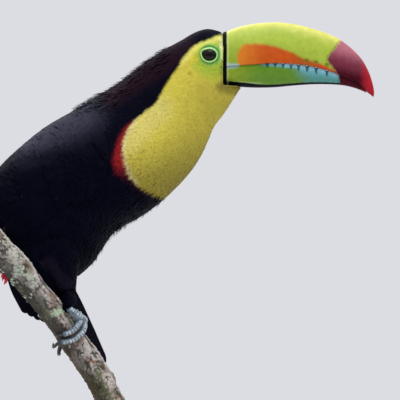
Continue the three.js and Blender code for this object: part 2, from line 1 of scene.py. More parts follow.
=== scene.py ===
"""A keel-billed toucan, life size, leaning out from a cut branch on a plain stand.

The forms below repeat the driving sizes of the solids: the body is a row of named sections from
the bill to the vent, each wing and the tail are blades laid on it, and every feather is placed on
one of these forms by its own two coordinates.  Sizes are in millimetres where they are named and
are turned to metres once, when a mesh is made.
"""

import logging
import math
from dataclasses import dataclass, field, replace
from enum import Enum
from typing import Callable, Iterable, Sequence

import bpy
import numpy as np
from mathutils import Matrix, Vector


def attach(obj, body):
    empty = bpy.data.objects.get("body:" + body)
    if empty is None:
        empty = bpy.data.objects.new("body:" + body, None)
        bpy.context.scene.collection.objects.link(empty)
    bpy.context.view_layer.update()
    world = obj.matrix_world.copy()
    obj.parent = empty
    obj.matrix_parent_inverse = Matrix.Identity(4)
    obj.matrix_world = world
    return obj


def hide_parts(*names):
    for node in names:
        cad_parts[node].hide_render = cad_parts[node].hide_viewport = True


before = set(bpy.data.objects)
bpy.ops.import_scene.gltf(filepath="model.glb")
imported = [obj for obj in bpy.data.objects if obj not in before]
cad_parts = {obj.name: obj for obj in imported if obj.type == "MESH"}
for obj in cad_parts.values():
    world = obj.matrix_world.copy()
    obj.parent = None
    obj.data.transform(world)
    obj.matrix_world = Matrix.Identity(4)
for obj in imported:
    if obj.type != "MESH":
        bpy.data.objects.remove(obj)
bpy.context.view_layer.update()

MM = 0.001
Array = np.ndarray
log = logging.getLogger("toucan")


# ------------------------------------------------------------------ numbers and curves


def srgb(code: str) -> Array:
    """Linear red, green and blue of an sRGB hex colour such as "e0d94e"."""
    value = np.array([int(code[i:i + 2], 16) / 255 for i in (0, 2, 4)])
    return np.where(value <= 0.04045, value / 12.92, ((value + 0.055) / 1.055) ** 2.4)


def rgba(code: str) -> tuple[float, float, float, float]:
    """The same colour with full alpha, as a shader socket takes it."""
    return (*srgb(code).tolist(), 1.0)


def blend(rows: Array, s: Array) -> Array:
    """Catmull-Rom blend of rows of numbers.

    Args:
        rows: one row for each station.
        s: places, counted in rows, of any shape.

    Returns:
        The blended rows, with one more axis than s.
    """
    last = len(rows) - 1
    i = np.clip(np.floor(s).astype(int), 0, last - 1)
    f = (s - i)[..., None]
    a, b, c, d = (rows[np.clip(i + k, 0, last)] for k in (-1, 0, 1, 2))
    return b + 0.5 * ((c - a) * f + (2 * a - 5 * b + 4 * c - d) * f**2 + (3 * b - a - 3 * c + d) * f**3)


def smooth(low: float, high: float, value: Array) -> Array:
    """Smooth step from 0 at low to 1 at high."""
    t = np.clip((value - low) / (high - low), 0, 1)
    return t * t * (3 - 2 * t)


def soft_max(a: Array, b: Array, span: float) -> Array:
    """Larger of two values, the corner between them rounded over a span."""
    mix = np.clip(0.5 + 0.5 * (a - b) / span, 0, 1)
    return b + (a - b) * mix + span * mix * (1 - mix)


def full_turn(count: int) -> Array:
    """Angles spread evenly over one turn."""
    return np.linspace(0, 2 * math.pi, count, endpoint=False)


def unit(vectors: Array) -> Array:
    """Vectors scaled to length one along the last axis."""
    return vectors / np.maximum(np.linalg.norm(vectors, axis=-1, keepdims=True), 1e-12)


def mix(a: Array, b: Array, share: Array) -> Array:
    """Colours a and b mixed by a share for each point."""
    return a + (b - a) * share[..., None]


def painted(colour: Array, *layers: tuple[str, Array]) -> Array:
    """A colour with layers over it, each a hex code and its share at each place."""
    for code, share in layers:
        colour = mix(colour, srgb(code), share)
    return colour


def ripple(points: Array, size: float, seed: int) -> Array:
    """Smooth noise of about -1 to 1: a sum of waves in seeded directions, one bump per size."""
    rng = np.random.default_rng(seed)
    total = np.zeros(points.shape[:-1])
    for _ in range(7):
        way = rng.normal(size=3)
        way *= 2 * math.pi / (size * np.linalg.norm(way)) * rng.uniform(0.6, 1.5)
        total += np.sin(points @ way + rng.uniform(0, 2 * math.pi))
    return total / 3.5


class Side(Enum):
    """The bird's own side, with the sign of its y."""

    RIGHT = -1
    LEFT = 1

    @property
    def word(self) -> str:
        """The side as it stands in a node's name."""
        return self.name.lower()


# ------------------------------------------------------------------ meshes


def mesh_object(name: str, points: Array, faces: Array | Sequence[Sequence[int]], *,
                marking: Array | None = None, maps: dict[str, Array] | None = None,
                flat: bool = False) -> bpy.types.Object:
    """Makes a mesh object at the origin.

    Args:
        name: the piece's name.
        points: vertex places in millimetres.
        faces: triangles or quads, as an array, or faces of any kind, as lists.
        marking: linear colour of each vertex, kept as the attribute "marking".
        maps: UV maps by name, one pair for each vertex.
        flat: leaves the faces flat shaded.

    Returns:
        The new object, linked to the scene.
    """
    mesh = bpy.data.meshes.new(name)
    points = np.asarray(points, dtype=float).reshape(-1, 3) * MM
    if isinstance(faces, np.ndarray):
        count, corners = faces.shape
        mesh.vertices.add(len(points))
        mesh.vertices.foreach_set("co", points.ravel())
        mesh.loops.add(count * corners)
        mesh.loops.foreach_set("vertex_index", faces.ravel().astype(np.int32))
        mesh.polygons.add(count)
        mesh.polygons.foreach_set("loop_start", np.arange(0, count * corners, corners, dtype=np.int32))
    else:
        mesh.from_pydata(points.tolist(), [], faces)
    mesh.update(calc_edges=True)
    mesh.polygons.foreach_set("use_smooth", np.full(len(mesh.polygons), not flat))
    corner = np.empty(len(mesh.loops), dtype=np.int32)
    mesh.loops.foreach_get("vertex_index", corner)
    for title, pairs in (maps or {}).items():
        layer = mesh.uv_layers.new(name=title)
        layer.data.foreach_set("uv", pairs[corner].astype(np.float32).ravel())
    if marking is not None:
        store_marking(mesh, marking)
    piece = bpy.data.objects.new(name, mesh)
    bpy.context.collection.objects.link(piece)
    return piece


def store_marking(mesh: bpy.types.Mesh, colours: Array) -> None:
    """Keeps a linear colour for each vertex as the attribute "marking"."""
    layer = mesh.attributes.new("marking", "FLOAT_COLOR", "POINT")
    full = np.ones((len(colours), 4), dtype=np.float32)
    full[:, :3] = np.clip(colours, 0, 1)
    layer.data.foreach_set("color", full.ravel())


def grid_faces(rows: int, columns: int, wrap: bool = True) -> Array:
    """Quads of a grid of points, row by row; wrap joins the last column to the first."""
    r, c = np.meshgrid(np.arange(rows - 1), np.arange(columns if wrap else columns - 1), indexing="ij")
    here, there = r * columns + c, r * columns + (c + 1) % columns
    return np.stack([here, there, there + columns, here + columns], axis=-1).reshape(-1, 4)


def closed_tube(rings: Array) -> tuple[Array, list[list[int]]]:
    """A closed skin through rings, with faces pointing out.

    Args:
        rings: places of shape (rings, points in a ring, 3).

    Returns:
        The points, and the faces with one centre fan at each end.
    """
    count, sides = rings.shape[:2]
    faces = grid_faces(count, sides).tolist()
    points = np.concatenate([rings.reshape(-1, 3), rings[0].mean(0)[None], rings[-1].mean(0)[None]])
    first, last = count * sides, count * sides + 1
    for k in range(sides):
        following = (k + 1) % sides
        faces.append([following, k, first])
        faces.append([(count - 1) * sides + k, (count - 1) * sides + following, last])
    a, b, c = (points[[face[i] for face in faces]] for i in range(3))
    if np.einsum("ij,ij->", a, np.cross(b, c)) < 0:
        faces = [face[::-1] for face in faces]
    return points, faces


def join_parts(parts: Iterable[tuple[Array, Sequence[Sequence[int]]]]) -> tuple[Array, list[list[int]]]:
    """Several point and face lists as one."""
    points: list[Array] = []
    faces: list[list[int]] = []
    start = 0
    for more, those in parts:
        points.append(more)
        faces.extend([[index + start for index in face] for face in those])
        start += len(more)
    return np.concatenate(points), faces


def sweep(centres: Array, radii: Array, sides: int) -> Array:
    """Rings round a line of centres.

    Args:
        centres: places along the line.
        radii: the radius at each.
        sides: points in a ring.

    Returns:
        The rings, of shape (centres, sides, 3).
    """
    way = unit(np.gradient(centres, axis=0))
    across = unit(np.cross(np.array([0.0, 1.0, 0.2]), way))
    up = np.cross(way, across)
    turn = full_turn(sides)
    ring = across[:, None] * np.cos(turn)[:, None] + up[:, None] * np.sin(turn)[:, None]
    return centres[:, None] + ring * np.asarray(radii)[:, None, None]


# ------------------------------------------------------------------ forms


MAP_EDGE = 0.02  # margin of a form's flat map
MAP_SPAN = 0.96


class Form:
    """A surface with two coordinates, on which skin and feathers are laid."""

    STEP = 1e-3

    def point(self, s: Array, a: Array) -> Array:
        """Places on the surface."""
        raise NotImplementedError

    @property
    def last(self) -> float:
        """Number of the last station."""
        return len(self.stations) - 1

    def along_map(self, s: Array) -> Array:
        """How far across the flat map a place lies."""
        return MAP_EDGE + MAP_SPAN * s / self.last

    def unwrap(self, s: Array, a: Array) -> Array:
        """Places on the flat map within the unit square: s runs across it and turns run up it."""
        up = MAP_EDGE + MAP_SPAN * (a / (2 * math.pi)) % 1.0
        return np.stack([self.along_map(s), up], axis=-1)

    def axes(self, s: Array, a: Array) -> tuple[Array, Array, Array, Array]:
        """Place, both tangents per unit of coordinate, and the outward normal."""
        here = self.point(s, a)
        along = (self.point(s + self.STEP, a) - self.point(s - self.STEP, a)) / (2 * self.STEP)
        round_ = (self.point(s, a + self.STEP) - self.point(s, a - self.STEP)) / (2 * self.STEP)
        return here, along, round_, self.outward(along, round_)

    def outward(self, along: Array, round_: Array) -> Array:
        """Outward normal from the two tangents."""
        return unit(np.cross(round_, along))

    def raised(self, s: Array, a: Array, height: Array | float) -> Array:
        """Places at a height over the surface."""
        here, _, _, normal = self.axes(s, a)
        return here + normal * np.asarray(height)[..., None]


@dataclass(frozen=True)
class BodyForm(Form):
    """Head, neck and trunk out to the feather tips; s counts stations, a turns from the back."""

    fullness: float = 0.92
    crown_taper: float = 0.14
    taper_end: float = 6.0
    # back x, back z, front x, front z, half width
    stations: tuple[tuple[float, ...], ...] = (
        (121.5, 383.8, 136.8, 335.2, 16.6),  # bill root
        (115.2, 386.1, 133.2, 331.2, 18.2),  # forehead
        (105.3, 387.9, 126.9, 321.3, 20.0),  # crown
        (94.5, 384.8, 119.7, 310.5, 21.2),  # hind crown
        (81.0, 377.1, 111.6, 299.7, 22.0),  # nape
        (64.8, 368.1, 106.2, 287.1, 23.2),  # upper neck
        (45.0, 354.6, 100.8, 275.4, 25.4),  # mid neck
        (25.2, 339.3, 91.8, 261.0, 29.0),  # lower neck
        (3.6, 325.8, 79.2, 246.6, 33.5),  # shoulders
        (-18.0, 312.8, 63.0, 231.3, 37.5),  # mantle
        (-40.5, 299.7, 43.2, 217.3, 40.0),  # upper breast
        (-63.0, 281.7, 23.4, 206.1, 41.0),  # mid back
        (-81.0, 264.6, 11.7, 190.8, 39.5),  # loin
        (-93.6, 249.3, 2.7, 177.3, 36.5),  # belly
        (-100.8, 229.5, -9.9, 166.0, 31.5),  # rump
        (-100.8, 211.5, -23.0, 161.0, 26.0),  # tail root
        (-96.3, 195.3, -36.0, 159.5, 20.5),  # flank end
        (-89.1, 180.9, -50.0, 158.5, 14.5),  # vent
        (-81.0, 169.2, -64.0, 157.5, 8.0),  # under tail
    )

    def width_share(self, s: Array, fall: Array) -> Array:
        """Width at a place across a section over its greatest; fall is 1 at the back, -1 in front."""
        taper = self.crown_taper * np.maximum(0, 1 - s / self.taper_end)
        rounded = np.sqrt(np.maximum(0, 1 - fall**2)) ** self.fullness
        return rounded * (1 - taper * fall)

    def point(self, s: Array, a: Array) -> Array:
        """Places on the plumage."""
        row = blend(np.array(self.stations), np.clip(s, 0, self.last))
        fall = np.cos(a)
        share = (1 - fall) / 2
        x = row[..., 0] + (row[..., 2] - row[..., 0]) * share
        z = row[..., 1] + (row[..., 3] - row[..., 1]) * share
        y = np.sign(np.sin(a)) * row[..., 4] * self.width_share(s, fall)
        return np.stack([x, y, z], axis=-1)

    def half_at(self, x: Array, z: Array) -> Array:
        """Half width under places of the side view, 0 outside the outline."""
        rows = np.array(self.stations)
        low, high = np.zeros_like(x), np.full_like(x, float(self.last))

        def side(s: Array) -> Array:
            """Which side of a section's line the place is on."""
            r = blend(rows, s)
            return (r[..., 2] - r[..., 0]) * (z - r[..., 1]) - (r[..., 3] - r[..., 1]) * (x - r[..., 0])

        ahead = np.sign(side(low))
        for _ in range(26):
            middle = (low + high) / 2
            same = np.sign(side(middle)) == ahead
            low, high = np.where(same, middle, low), np.where(same, high, middle)
        r = blend(rows, low)
        across, down = r[..., 2] - r[..., 0], r[..., 3] - r[..., 1]
        share = ((x - r[..., 0]) * across + (z - r[..., 1]) * down) / (across**2 + down**2)
        return r[..., 4] * self.width_share(low, np.clip(1 - 2 * share, -1, 1))


@dataclass(frozen=True)
class WingForm(Form):
    """Outer face of a folded wing; s runs from the wrist to the tip, a from its upper edge down."""

    side: Side
    body: BodyForm
    proud: float = 4.2
    # upper x, upper z, lower x, lower z, hold at the upper and at the lower edge
    stations: tuple[tuple[float, ...], ...] = (
        (16.2, 299.5, 18.0, 281.0, 20, 26),
        (1.8, 312.0, 14.4, 255.6, 14, 26),
        (-22.5, 306.0, -3.6, 234.0, 9, 26),
        (-49.5, 288.9, -27.0, 219.6, 7, 26),
        (-73.8, 270.0, -49.5, 207.9, 6, 26),
        (-93.6, 250.2, -70.2, 197.1, 6, 25),
        (-108.9, 230.4, -90.0, 187.2, 8, 24),
        (-119.7, 208.8, -106.2, 180.9, 11, 22),
        (-126.0, 189.9, -120.6, 178.2, 15, 20),
    )

    def point(self, s: Array, a: Array) -> Array:
        """Places on the wing's outer face; past its edges the face runs on."""
        row = blend(np.array(self.stations, dtype=float), np.clip(s, 0, self.last))
        x = row[..., 0] + (row[..., 2] - row[..., 0]) * a
        z = row[..., 1] + (row[..., 3] - row[..., 1]) * a
        bow = np.sin(np.clip(a, 0, 1) * math.pi / 2)
        hold = row[..., 4] + (row[..., 5] - row[..., 4]) * bow
        edge = np.sin(math.pi * np.clip(a, 0.06, 0.94)) ** 0.4
        end = np.clip(np.minimum(s, self.last - s) * 1.2 + 0.35, 0, 1)
        under = soft_max(self.body.half_at(x, z), hold, 6)
        y = self.side.value * (under + 0.8 + (self.proud - 0.8) * edge * end)
        return np.stack([x, y, z], axis=-1)

    def outward(self, along: Array, round_: Array) -> Array:
        """Outward normal, away from the bird's midplane."""
        return self.side.value * unit(np.cross(along, round_)) * -1

    def unwrap(self, s: Array, a: Array) -> Array:
        """The wing lies flat on the map."""
        return np.stack([self.along_map(s), 0.1 + 0.8 * np.clip(a, -0.1, 1.1)], axis=-1)


@dataclass(frozen=True)
class ThighForm(Form):
    """A feathered thigh; s counts balls down the leg, a turns round it."""

    # x, y, z, radius
    stations: tuple[tuple[float, ...], ...]

    def point(self, s: Array, a: Array) -> Array:
        """Places on the thigh's plumage."""
        rows = np.array(self.stations, dtype=float)
        row = blend(rows, np.clip(s, 0, self.last))
        near = 0.05
        way = unit((blend(rows, np.clip(s + near, 0, self.last))
                    - blend(rows, np.clip(s - near, 0, self.last)))[..., :3])
        across = unit(np.cross(np.array([0.0, 1.0, 0.2]), way))
        up = np.cross(way, across)
        out = across * np.cos(a)[..., None] + up * np.sin(a)[..., None]
        return row[..., :3] + out * row[..., 3:4]


@dataclass(frozen=True)
class TailForm(Form):
    """The folded tail as one blade; s is the part of its length, a turns round it.

    Its under side is turned to the bird's right, and a is 0 along its edge towards -X.
    """

    root: tuple[float, float, float] = (-75.1, 1.0, 225.0)
    tip: tuple[float, float, float] = (-12.0, 18.0, 84.0)
    # part of the length, half width, half depth, turn in degrees
    stations: tuple[tuple[float, ...], ...] = (
        (0.16, 19.0, 13.0, 78.0),
        (0.32, 24.0, 11.0, 76.0),
        (0.46, 26.5, 8.0, 72.0),
        (0.58, 28.0, 4.5, 69.0),
        (0.72, 29.0, 2.6, 67.0),
        (0.86, 29.5, 2.0, 66.0),
        (1.0, 29.0, 1.2, 66.0),
    )

    @property
    def last(self) -> float:
        """The blade is measured by parts of its length."""
        return 1

    @property
    def way(self) -> Array:
        """Direction from the root to the tip."""
        return unit(np.array(self.tip) - np.array(self.root))

    def frame_at(self, share: Array) -> tuple[Array, Array, Array, Array, Array]:
        """Middle, direction across, direction out of the upper side, half width and half depth."""
        rows = np.array(self.stations)
        half, thick, turn = (np.interp(share, rows[:, 0], rows[:, k]) for k in (1, 2, 3))
        near = unit(np.array([0.0, -1.0, 0.0]) - self.way * -self.way[1])
        left = np.cross(self.way, near)
        left = left * -np.sign(left[0])
        angle = np.radians(turn)
        across = near * np.cos(angle)[..., None] + left * np.sin(angle)[..., None]
        over = np.cross(self.way, across)
        root, tip = np.array(self.root), np.array(self.tip)
        middle = root + (tip - root) * np.asarray(share)[..., None]
        return middle, across, over, half, thick

    def point(self, s: Array, a: Array) -> Array:
        """Places on the blade."""
        middle, across, over, half, thick = self.frame_at(s)
        wide = np.sign(np.cos(a)) * np.abs(np.cos(a)) ** 0.8
        return middle + across * (half * wide)[..., None] + over * (thick * np.sin(a))[..., None]


# ------------------------------------------------------------------ markings


def signed(outline: Sequence[tuple[float, float]], x: Array, z: Array) -> Array:
    """Distance inside a smooth closed outline of the side view, negative outside it.

    Args:
        outline: its named places, taken as a closed round of curves.
        x: places to be looked up.
        z: their heights.

    Returns:
        The distance in millimetres.
    """
    fine = 5
    rows = np.array([outline[-1], *outline, outline[0], outline[1]], dtype=float)
    places = np.arange(1, len(outline) + 1, 1 / fine)
    line = blend(rows, places)
    start, end = line, np.roll(line, -1, axis=0)
    spot = np.stack([x, z], axis=-1).reshape(-1, 2)
    nearest = np.full(len(spot), np.inf)
    inside = np.zeros(len(spot), dtype=bool)
    for p, q in zip(start, end):
        step = q - p
        share = np.clip((spot - p) @ step / max(step @ step, 1e-9), 0, 1)
        nearest = np.minimum(nearest, ((spot - p - share[:, None] * step) ** 2).sum(1))
        if p[1] != q[1]:
            crosses = (p[1] > spot[:, 1]) != (q[1] > spot[:, 1])
            inside ^= crosses & (spot[:, 0] < (q[0] - p[0]) * (spot[:, 1] - p[1]) / (q[1] - p[1]) + p[0])
    return (np.sqrt(nearest) * np.where(inside, 1, -1)).reshape(np.shape(x))


def near_line(start: tuple[float, float], end: tuple[float, float], x: Array, z: Array) -> Array:
    """Distance of places of the side view from a straight line between two others."""
    p, q = np.array(start), np.array(end)
    spot = np.stack([x, z], axis=-1)
    share = np.clip((spot - p) @ (q - p) / ((q - p) @ (q - p)), 0, 1)
    return np.linalg.norm(spot - p - share[..., None] * (q - p), axis=-1)


@dataclass(frozen=True)
class Markings:
    """Colours of skin and plumage by their place; only vent and rump differ from side to side."""

    # Yellow of face, throat and bib: cap edge from the bill, bib edge, then round outside the front.
    yellow_edge: tuple[tuple[float, float], ...] = (
        (121.5, 384.2), (116.1, 382.9), (108.0, 379.4), (99.0, 376.2), (90.9, 370.8), (86.4, 365.4),
        (81.0, 358.2), (78.5, 353.0), (68.4, 338.4), (59.4, 322.2), (47.4, 312.2), (37.5, 303.0),
        (31.8, 292.5), (29.2, 280.8), (31.2, 267.3), (36.0, 254.0), (45.6, 244.4), (56.7, 237.6),
        (65.7, 234.0), (76.0, 231.0), (110.0, 236.0), (150.0, 280.0), (160.0, 340.0), (150.0, 386.0),
        (130.0, 391.0),
    )
    # Red round the bib: its outer edge, closed inside the yellow.
    red_edge: tuple[tuple[float, float], ...] = (
        (40.0, 307.0), (32.0, 301.5), (25.7, 292.5), (21.2, 279.0), (19.4, 267.3), (24.3, 254.6),
        (43.2, 239.8), (56.0, 234.6), (66.5, 231.6), (76.0, 228.6), (110.0, 236.0), (120.0, 280.0),
        (80.0, 310.0), (56.0, 312.0),
    )
    soft_edge: float = 0.9  # half width of the mingling of two colours
    eye_spot: tuple[float, float] = (107.4, 364.3)
    ear_spot: tuple[float, float] = (90.0, 348.3)

    yellow: str = "d3c54a"
    # The deep yellow is painted shade, the pale yellow a painted highlight.
    yellow_deep: str = "8b7e30"
    yellow_pale: str = "dfd27c"
    face_green: str = "a7bd3a"
    face_orange: str = "dcc038"
    # The pale cream at the bib's upper back edge is a painted highlight.
    fringe_pale: str = "e4d9b0"
    chin_shade: str = "554c1c"
    brow_yellow: str = "e8e272"
    frontal_cream: str = "f2f1ac"
    ear_olive: str = "9a9328"
    # The thigh's grey is a painted sheen.
    thigh_grey: str = "1d1823"
    red: str = "8e1f20"
    # The dark red is painted shade.
    red_dark: str = "200912"
    black: str = "05050c"
    maroon: str = "220f16"
    # The steel-blue is a painted sheen on the mantle.
    steel: str = "353541"
    under_red: str = "d8404a"
    upper_white: str = "ece6da"

    def dark(self, points: Array) -> Array:
        """Linear colours of the black plumage: maroon nape, a painted steel-blue sheen on the mantle and a
        painted grey sheen on the thigh.
        """
        x, z = points[..., 0], points[..., 2]
        ragged = 0.7 * ripple(points, 5.0, 11)
        blue_black, wine = srgb(self.black), srgb(self.maroon)
        nape = near_line((84.0, 371.0), (20.0, 329.0), x, z)
        colour = mix(blue_black * np.ones_like(points), wine, 0.85 * smooth(17, 5, nape + 2 * ragged))
        shoulder = near_line((-54.0, 289.0), (-6.0, 312.0), x, z)
        # A painted steel-blue sheen lies on the shoulder and mantle; its streaks lie along the back.
        lengthwise, crosswise = 0.8 * x + 0.6 * z, 0.8 * z - 0.6 * x
        streak = ripple(np.stack([0.2 * lengthwise, points[..., 1], crosswise], axis=-1), 2.6, 12)
        wing_edge = near_line((-58.0, 272.0), (-18.0, 275.0), x, z)
        sheen = smooth(34, 2, shoulder + 3 * ragged) ** 1.3 * (1 - 0.7 * smooth(5.5, 1.0, wing_edge + ragged))
        colour = mix(colour, srgb(self.steel), np.clip(sheen * (1.0 + 0.22 * streak), 0, 1))
        # A painted grey sheen lies on the thigh.
        thigh = near_line((-38.0, 178.0), (-20.0, 158.0), x, z)
        return mix(colour, srgb(self.thigh_grey), 0.7 * smooth(9, 2, thigh + 3 * ragged))

    def at(self, points: Array) -> Array:
        """Linear colours at places on the bird.

        Args:
            points: places in millimetres, of any shape with a last axis of three.

        Returns:
            One linear colour for each place.
        """
        x, y, z = points[..., 0], points[..., 1], points[..., 2]
        ragged = 0.7 * ripple(points, 5.0, 11)
        colour = self.dark(points)
        red_in = signed(self.red_edge, x, z) + ragged
        # Painted shade darkens the red low down.
        crimson = mix(srgb(self.red) * np.ones_like(points), srgb(self.red_dark), smooth(270, 250, z))
        colour = mix(colour, crimson, smooth(-0.6, 4.6, red_in))

        yellow_in = signed(self.yellow_edge, x, z) + 0.6 * ragged
        # Painted shade: the bib darkens low down and towards its front.
        bib = mix(srgb(self.yellow) * np.ones_like(points), srgb(self.yellow_deep),
                  0.95 * smooth(300, 240, z + 0.2 * (60 - x) + 2 * ragged))
        front = near_line((112.0, 318.0), (84.0, 262.0), x, z)
        # Painted highlights lie along the bib's upper back edge and on a line running up from it.
        pale = near_line((34.0, 288.0), (62.0, 316.0), x, z)
        rim_highlight = smooth(5.5, 0.5, yellow_in) * smooth(48, 38, x)
        eye = np.hypot(x - self.eye_spot[0], z - self.eye_spot[1])
        chin = near_line((119.0, 336.0), (134.0, 333.0), x, z)
        behind = near_line((92.0, 371.0), (93.5, 361.0), x, z)
        brow = smooth(8.0, 3.0, yellow_in) * smooth(352, 362, z) * smooth(119, 116, x)
        frontal = near_line((117.8, 380.0), (117.6, 360.0), x, z)
        ear = np.hypot(x - self.ear_spot[0], z - self.ear_spot[1])
        bib = painted(bib, (self.yellow_deep, 0.38 * smooth(36, 3, front)),
                      (self.yellow_pale, 0.6 * smooth(20, 3, pale + ragged)),
                      (self.fringe_pale, 0.45 * rim_highlight),
                      (self.face_green, smooth(27, 12, eye + 0.25 * (106 - x) + 0.4 * ragged)),
                      (self.chin_shade, 0.62 * smooth(9, 1.5, chin + ragged)),
                      (self.face_orange, 0.6 * smooth(6.5, 1.0, behind + ragged)),
                      (self.brow_yellow, 0.75 * brow),
                      (self.frontal_cream, 0.92 * smooth(1.9, 0.8, frontal)),
                      (self.ear_olive, 0.7 * smooth(2.6, 0.8, ear)))
        colour = mix(colour, bib, smooth(-self.soft_edge, self.soft_edge + 1.2, yellow_in))

        # Red under the tail and white over it; the tail's under side is turned to the bird's right.
        vent = smooth(-2, 2, 176 - 0.75 * (x + 90) - z + ragged) * smooth(-45, -58, x)
        vent = vent * smooth(12, 4, y) * smooth(150, 157, z)
        colour = mix(colour, srgb(self.under_red), vent)
        rump = smooth(8, 14, y) * smooth(-62, -72, x) * smooth(192, 185, z + 2 * ragged)
        return mix(colour, srgb(self.upper_white), rump)


MARKINGS = Markings()

# ------------------------------------------------------------------ vanes


@dataclass(frozen=True)
class Vane:
    """One kind of feather: its outline in shares of length and width, and how it lies."""

    places: tuple[float, ...] = (0.25, 0.52, 0.76, 0.92)  # sections, along the length
    widths: tuple[float, ...] = (0.66, 1.0, 0.88, 0.5)
    ridge: float = 0.05  # rise of the middle over the edges, in widths
    settle: float = 1.3  # power by which it comes up from its root to its tip
    lift: float = 0.0  # height of the tip over the form, in millimetres

    @property
    def size(self) -> int:
        """Number of points in one vane."""
        return 3 * len(self.places) + 2

    def pattern(self) -> tuple[Array, Array, Array]:
        """Share of length, share of half width and rise of each point of a vane."""
        along = [0.0]
        across = [0.0]
        rise = [0.0]
        for place, width in zip(self.places, self.widths):
            along += [place] * 3
            across += [-width, 0.0, width]
            rise += [0.0, width * self.ridge, 0.0]
        return np.array([*along, 1.0]), np.array([*across, 0.0]), np.array([*rise, 0.0])

    def faces(self) -> Array:
        """Triangles of one closed vane."""
        out: list[tuple[int, int, int]] = []
        first, last = 1, self.size - 1
        for j in range(3):
            out.append((0, first + (j + 1) % 3, first + j))
        for row in range(len(self.places) - 1):
            here = 1 + 3 * row
            for j in range(3):
                a, b = here + j, here + (j + 1) % 3
                out += [(a, b, b + 3), (a, b + 3, a + 3)]
        end = 1 + 3 * (len(self.places) - 1)
        for j in range(3):
            out.append((end + j, end + (j + 1) % 3, last))
        return np.array(out)


@dataclass
class Feathers:
    """Feathers laid on one form, ready to be made into pieces."""

    points: Array  # feather, point, xyz
    colours: Array  # feather, point, rgb
    places: Array  # each feather's place on the unwrap
    kind: Vane

    PATCH = 0.003

    def keep(self, which: Array) -> "Feathers":
        """The feathers that a mask picks."""
        return Feathers(self.points[which], self.colours[which], self.places[which], self.kind)

    def make(self, name: str, material: bpy.types.Material) -> bpy.types.Object:
        """One piece of closed vanes with its marking and its own small patch for each vane.

        Args:
            name: the piece's name.
            material: its finish.

        Returns:
            The piece.
        """
        count, size = self.points.shape[:2]
        faces = (self.kind.faces()[None] + (np.arange(count) * size)[:, None, None]).reshape(-1, 3)
        along, across, _ = self.kind.pattern()
        spread = np.stack([along - 0.5, across / 2], axis=-1) * self.PATCH
        bake = np.clip(self.places[:, None] + spread[None], 0.001, 0.999).reshape(-1, 2)
        own = np.stack([across / 2 + 0.5, along], axis=-1)
        own = np.broadcast_to(own, (count, size, 2)).reshape(-1, 2)
        flat = self.points.reshape(-1, 3)
        piece = mesh_object(name, flat, faces, marking=self.colours.reshape(-1, 3),
                            maps={"OFBake": bake, "Vane": own})
        self.sharpen_rims(piece.data)
        piece.data.materials.append(material)
        return piece

    def sharpen_rims(self, mesh: bpy.types.Mesh) -> None:
        """Parts each vane's face from its back along the rim, so that the face shades as one sheet."""
        ends = np.empty(len(mesh.edges) * 2, dtype=np.int32)
        mesh.edges.foreach_get("vertices", ends)
        local = ends.reshape(-1, 2) % self.kind.size
        column = np.where((local == 0) | (local == self.kind.size - 1), -1, (local - 1) % 3)
        rims = [((column == -1) | (column == edge)).all(axis=1) for edge in (0, 2)]
        sharp = mesh.attributes.new("sharp_edge", "BOOLEAN", "EDGE")
        sharp.data.foreach_set("value", rims[0] | rims[1])


def turned_out(points: Array, faces: Array) -> bool:
    """Whether the first vane of a set has its faces outward."""
    a, b, c = (points[0][faces[:, k]] for k in range(3))
    middle = points[0].mean(0)
    return float(np.einsum("ij,ij->", a - middle, np.cross(b - middle, c - middle))) > 0


BY_PLACE = 0.6  # share of a vane's colour that follows each point's own place
TONE_SPREAD = 0.022  # spread of brightness from feather to feather
UNEVEN = 0.12  # feathers lie up to this much higher or lower than their neighbours


def even(gap: float) -> Callable[[Array, Array], Array]:
    """The same spacing everywhere."""
    return lambda s, a: gap + 0 * s


def lay(form: Form, kind: Vane, s: Array, a: Array, *, turn: Array, length: Array, width: Array,
        depth: Array, rng: np.random.Generator, colour_from: float = 0.7, roll: float = 0.0,
        colour: Callable[[Array], Array] | None = None) -> Feathers:
    """Lays feathers on a form so that they follow its curve.

    Args:
        form: what they lie on.
        kind: their outline.
        s: first coordinate of each root.
        a: second coordinate of each root.
        turn: angle of each from the first coordinate's way, in radians.
        length: length of each.
        width: full width of each.
        depth: how deep each root sits under the form.
        rng: source of small differences.
        colour_from: share of the length where a feather takes its colour.
        roll: rise across each vane, as a slope, so that one edge lies over the next feather.
        colour: gives linear colours for places; the markings, if it isn't given.

    Returns:
        The feathers.
    """
    here, along, round_, normal = form.axes(s, a)
    e, f, g = ((p * q).sum(-1) for p, q in ((along, along), (along, round_), (round_, round_)))
    lead = unit(along)
    aside = np.cross(normal, lead)
    way = lead * np.cos(turn)[:, None] + aside * np.sin(turn)[:, None]
    side = np.cross(normal, way)
    share, across, rise = kind.pattern()
    reach = (way[:, None] * (length[:, None] * share)[..., None]
             + side[:, None] * (0.5 * width[:, None] * across)[..., None])
    p = (reach * along[:, None]).sum(-1)
    q = (reach * round_[:, None]).sum(-1)
    det = (e * g - f * f)[:, None]
    ds = (g[:, None] * p - f[:, None] * q) / det
    da = (e[:, None] * q - f[:, None] * p) / det
    height = (-depth[:, None] * (1 - share) ** kind.settle + kind.lift * share**2
              + (rise + 0.5 * roll * across) * width[:, None] + rng.uniform(-UNEVEN, UNEVEN, len(s))[:, None])
    points = form.raised(s[:, None] + ds, a[:, None] + da, height)
    shown = here + way * (length * colour_from)[:, None]
    tint = colour or MARKINGS.at
    base = mix(np.broadcast_to(tint(shown)[:, None], points.shape), tint(points), np.array(BY_PLACE))
    tone = rng.normal(1.0, TONE_SPREAD, len(s))[:, None, None]
    colours = base * (0.92 + 0.08 * smooth(0.2, 0.9, share))[None, :, None] * tone
    laid = Feathers(points, colours, form.unwrap(s, a), kind)
    if not turned_out(points, kind.faces()):
        order = np.arange(kind.size)
        for row in range(len(kind.places)):
            order[1 + 3 * row], order[3 + 3 * row] = 3 + 3 * row, 1 + 3 * row
        laid.points, laid.colours = points[:, order], colours[:, order]
    return laid


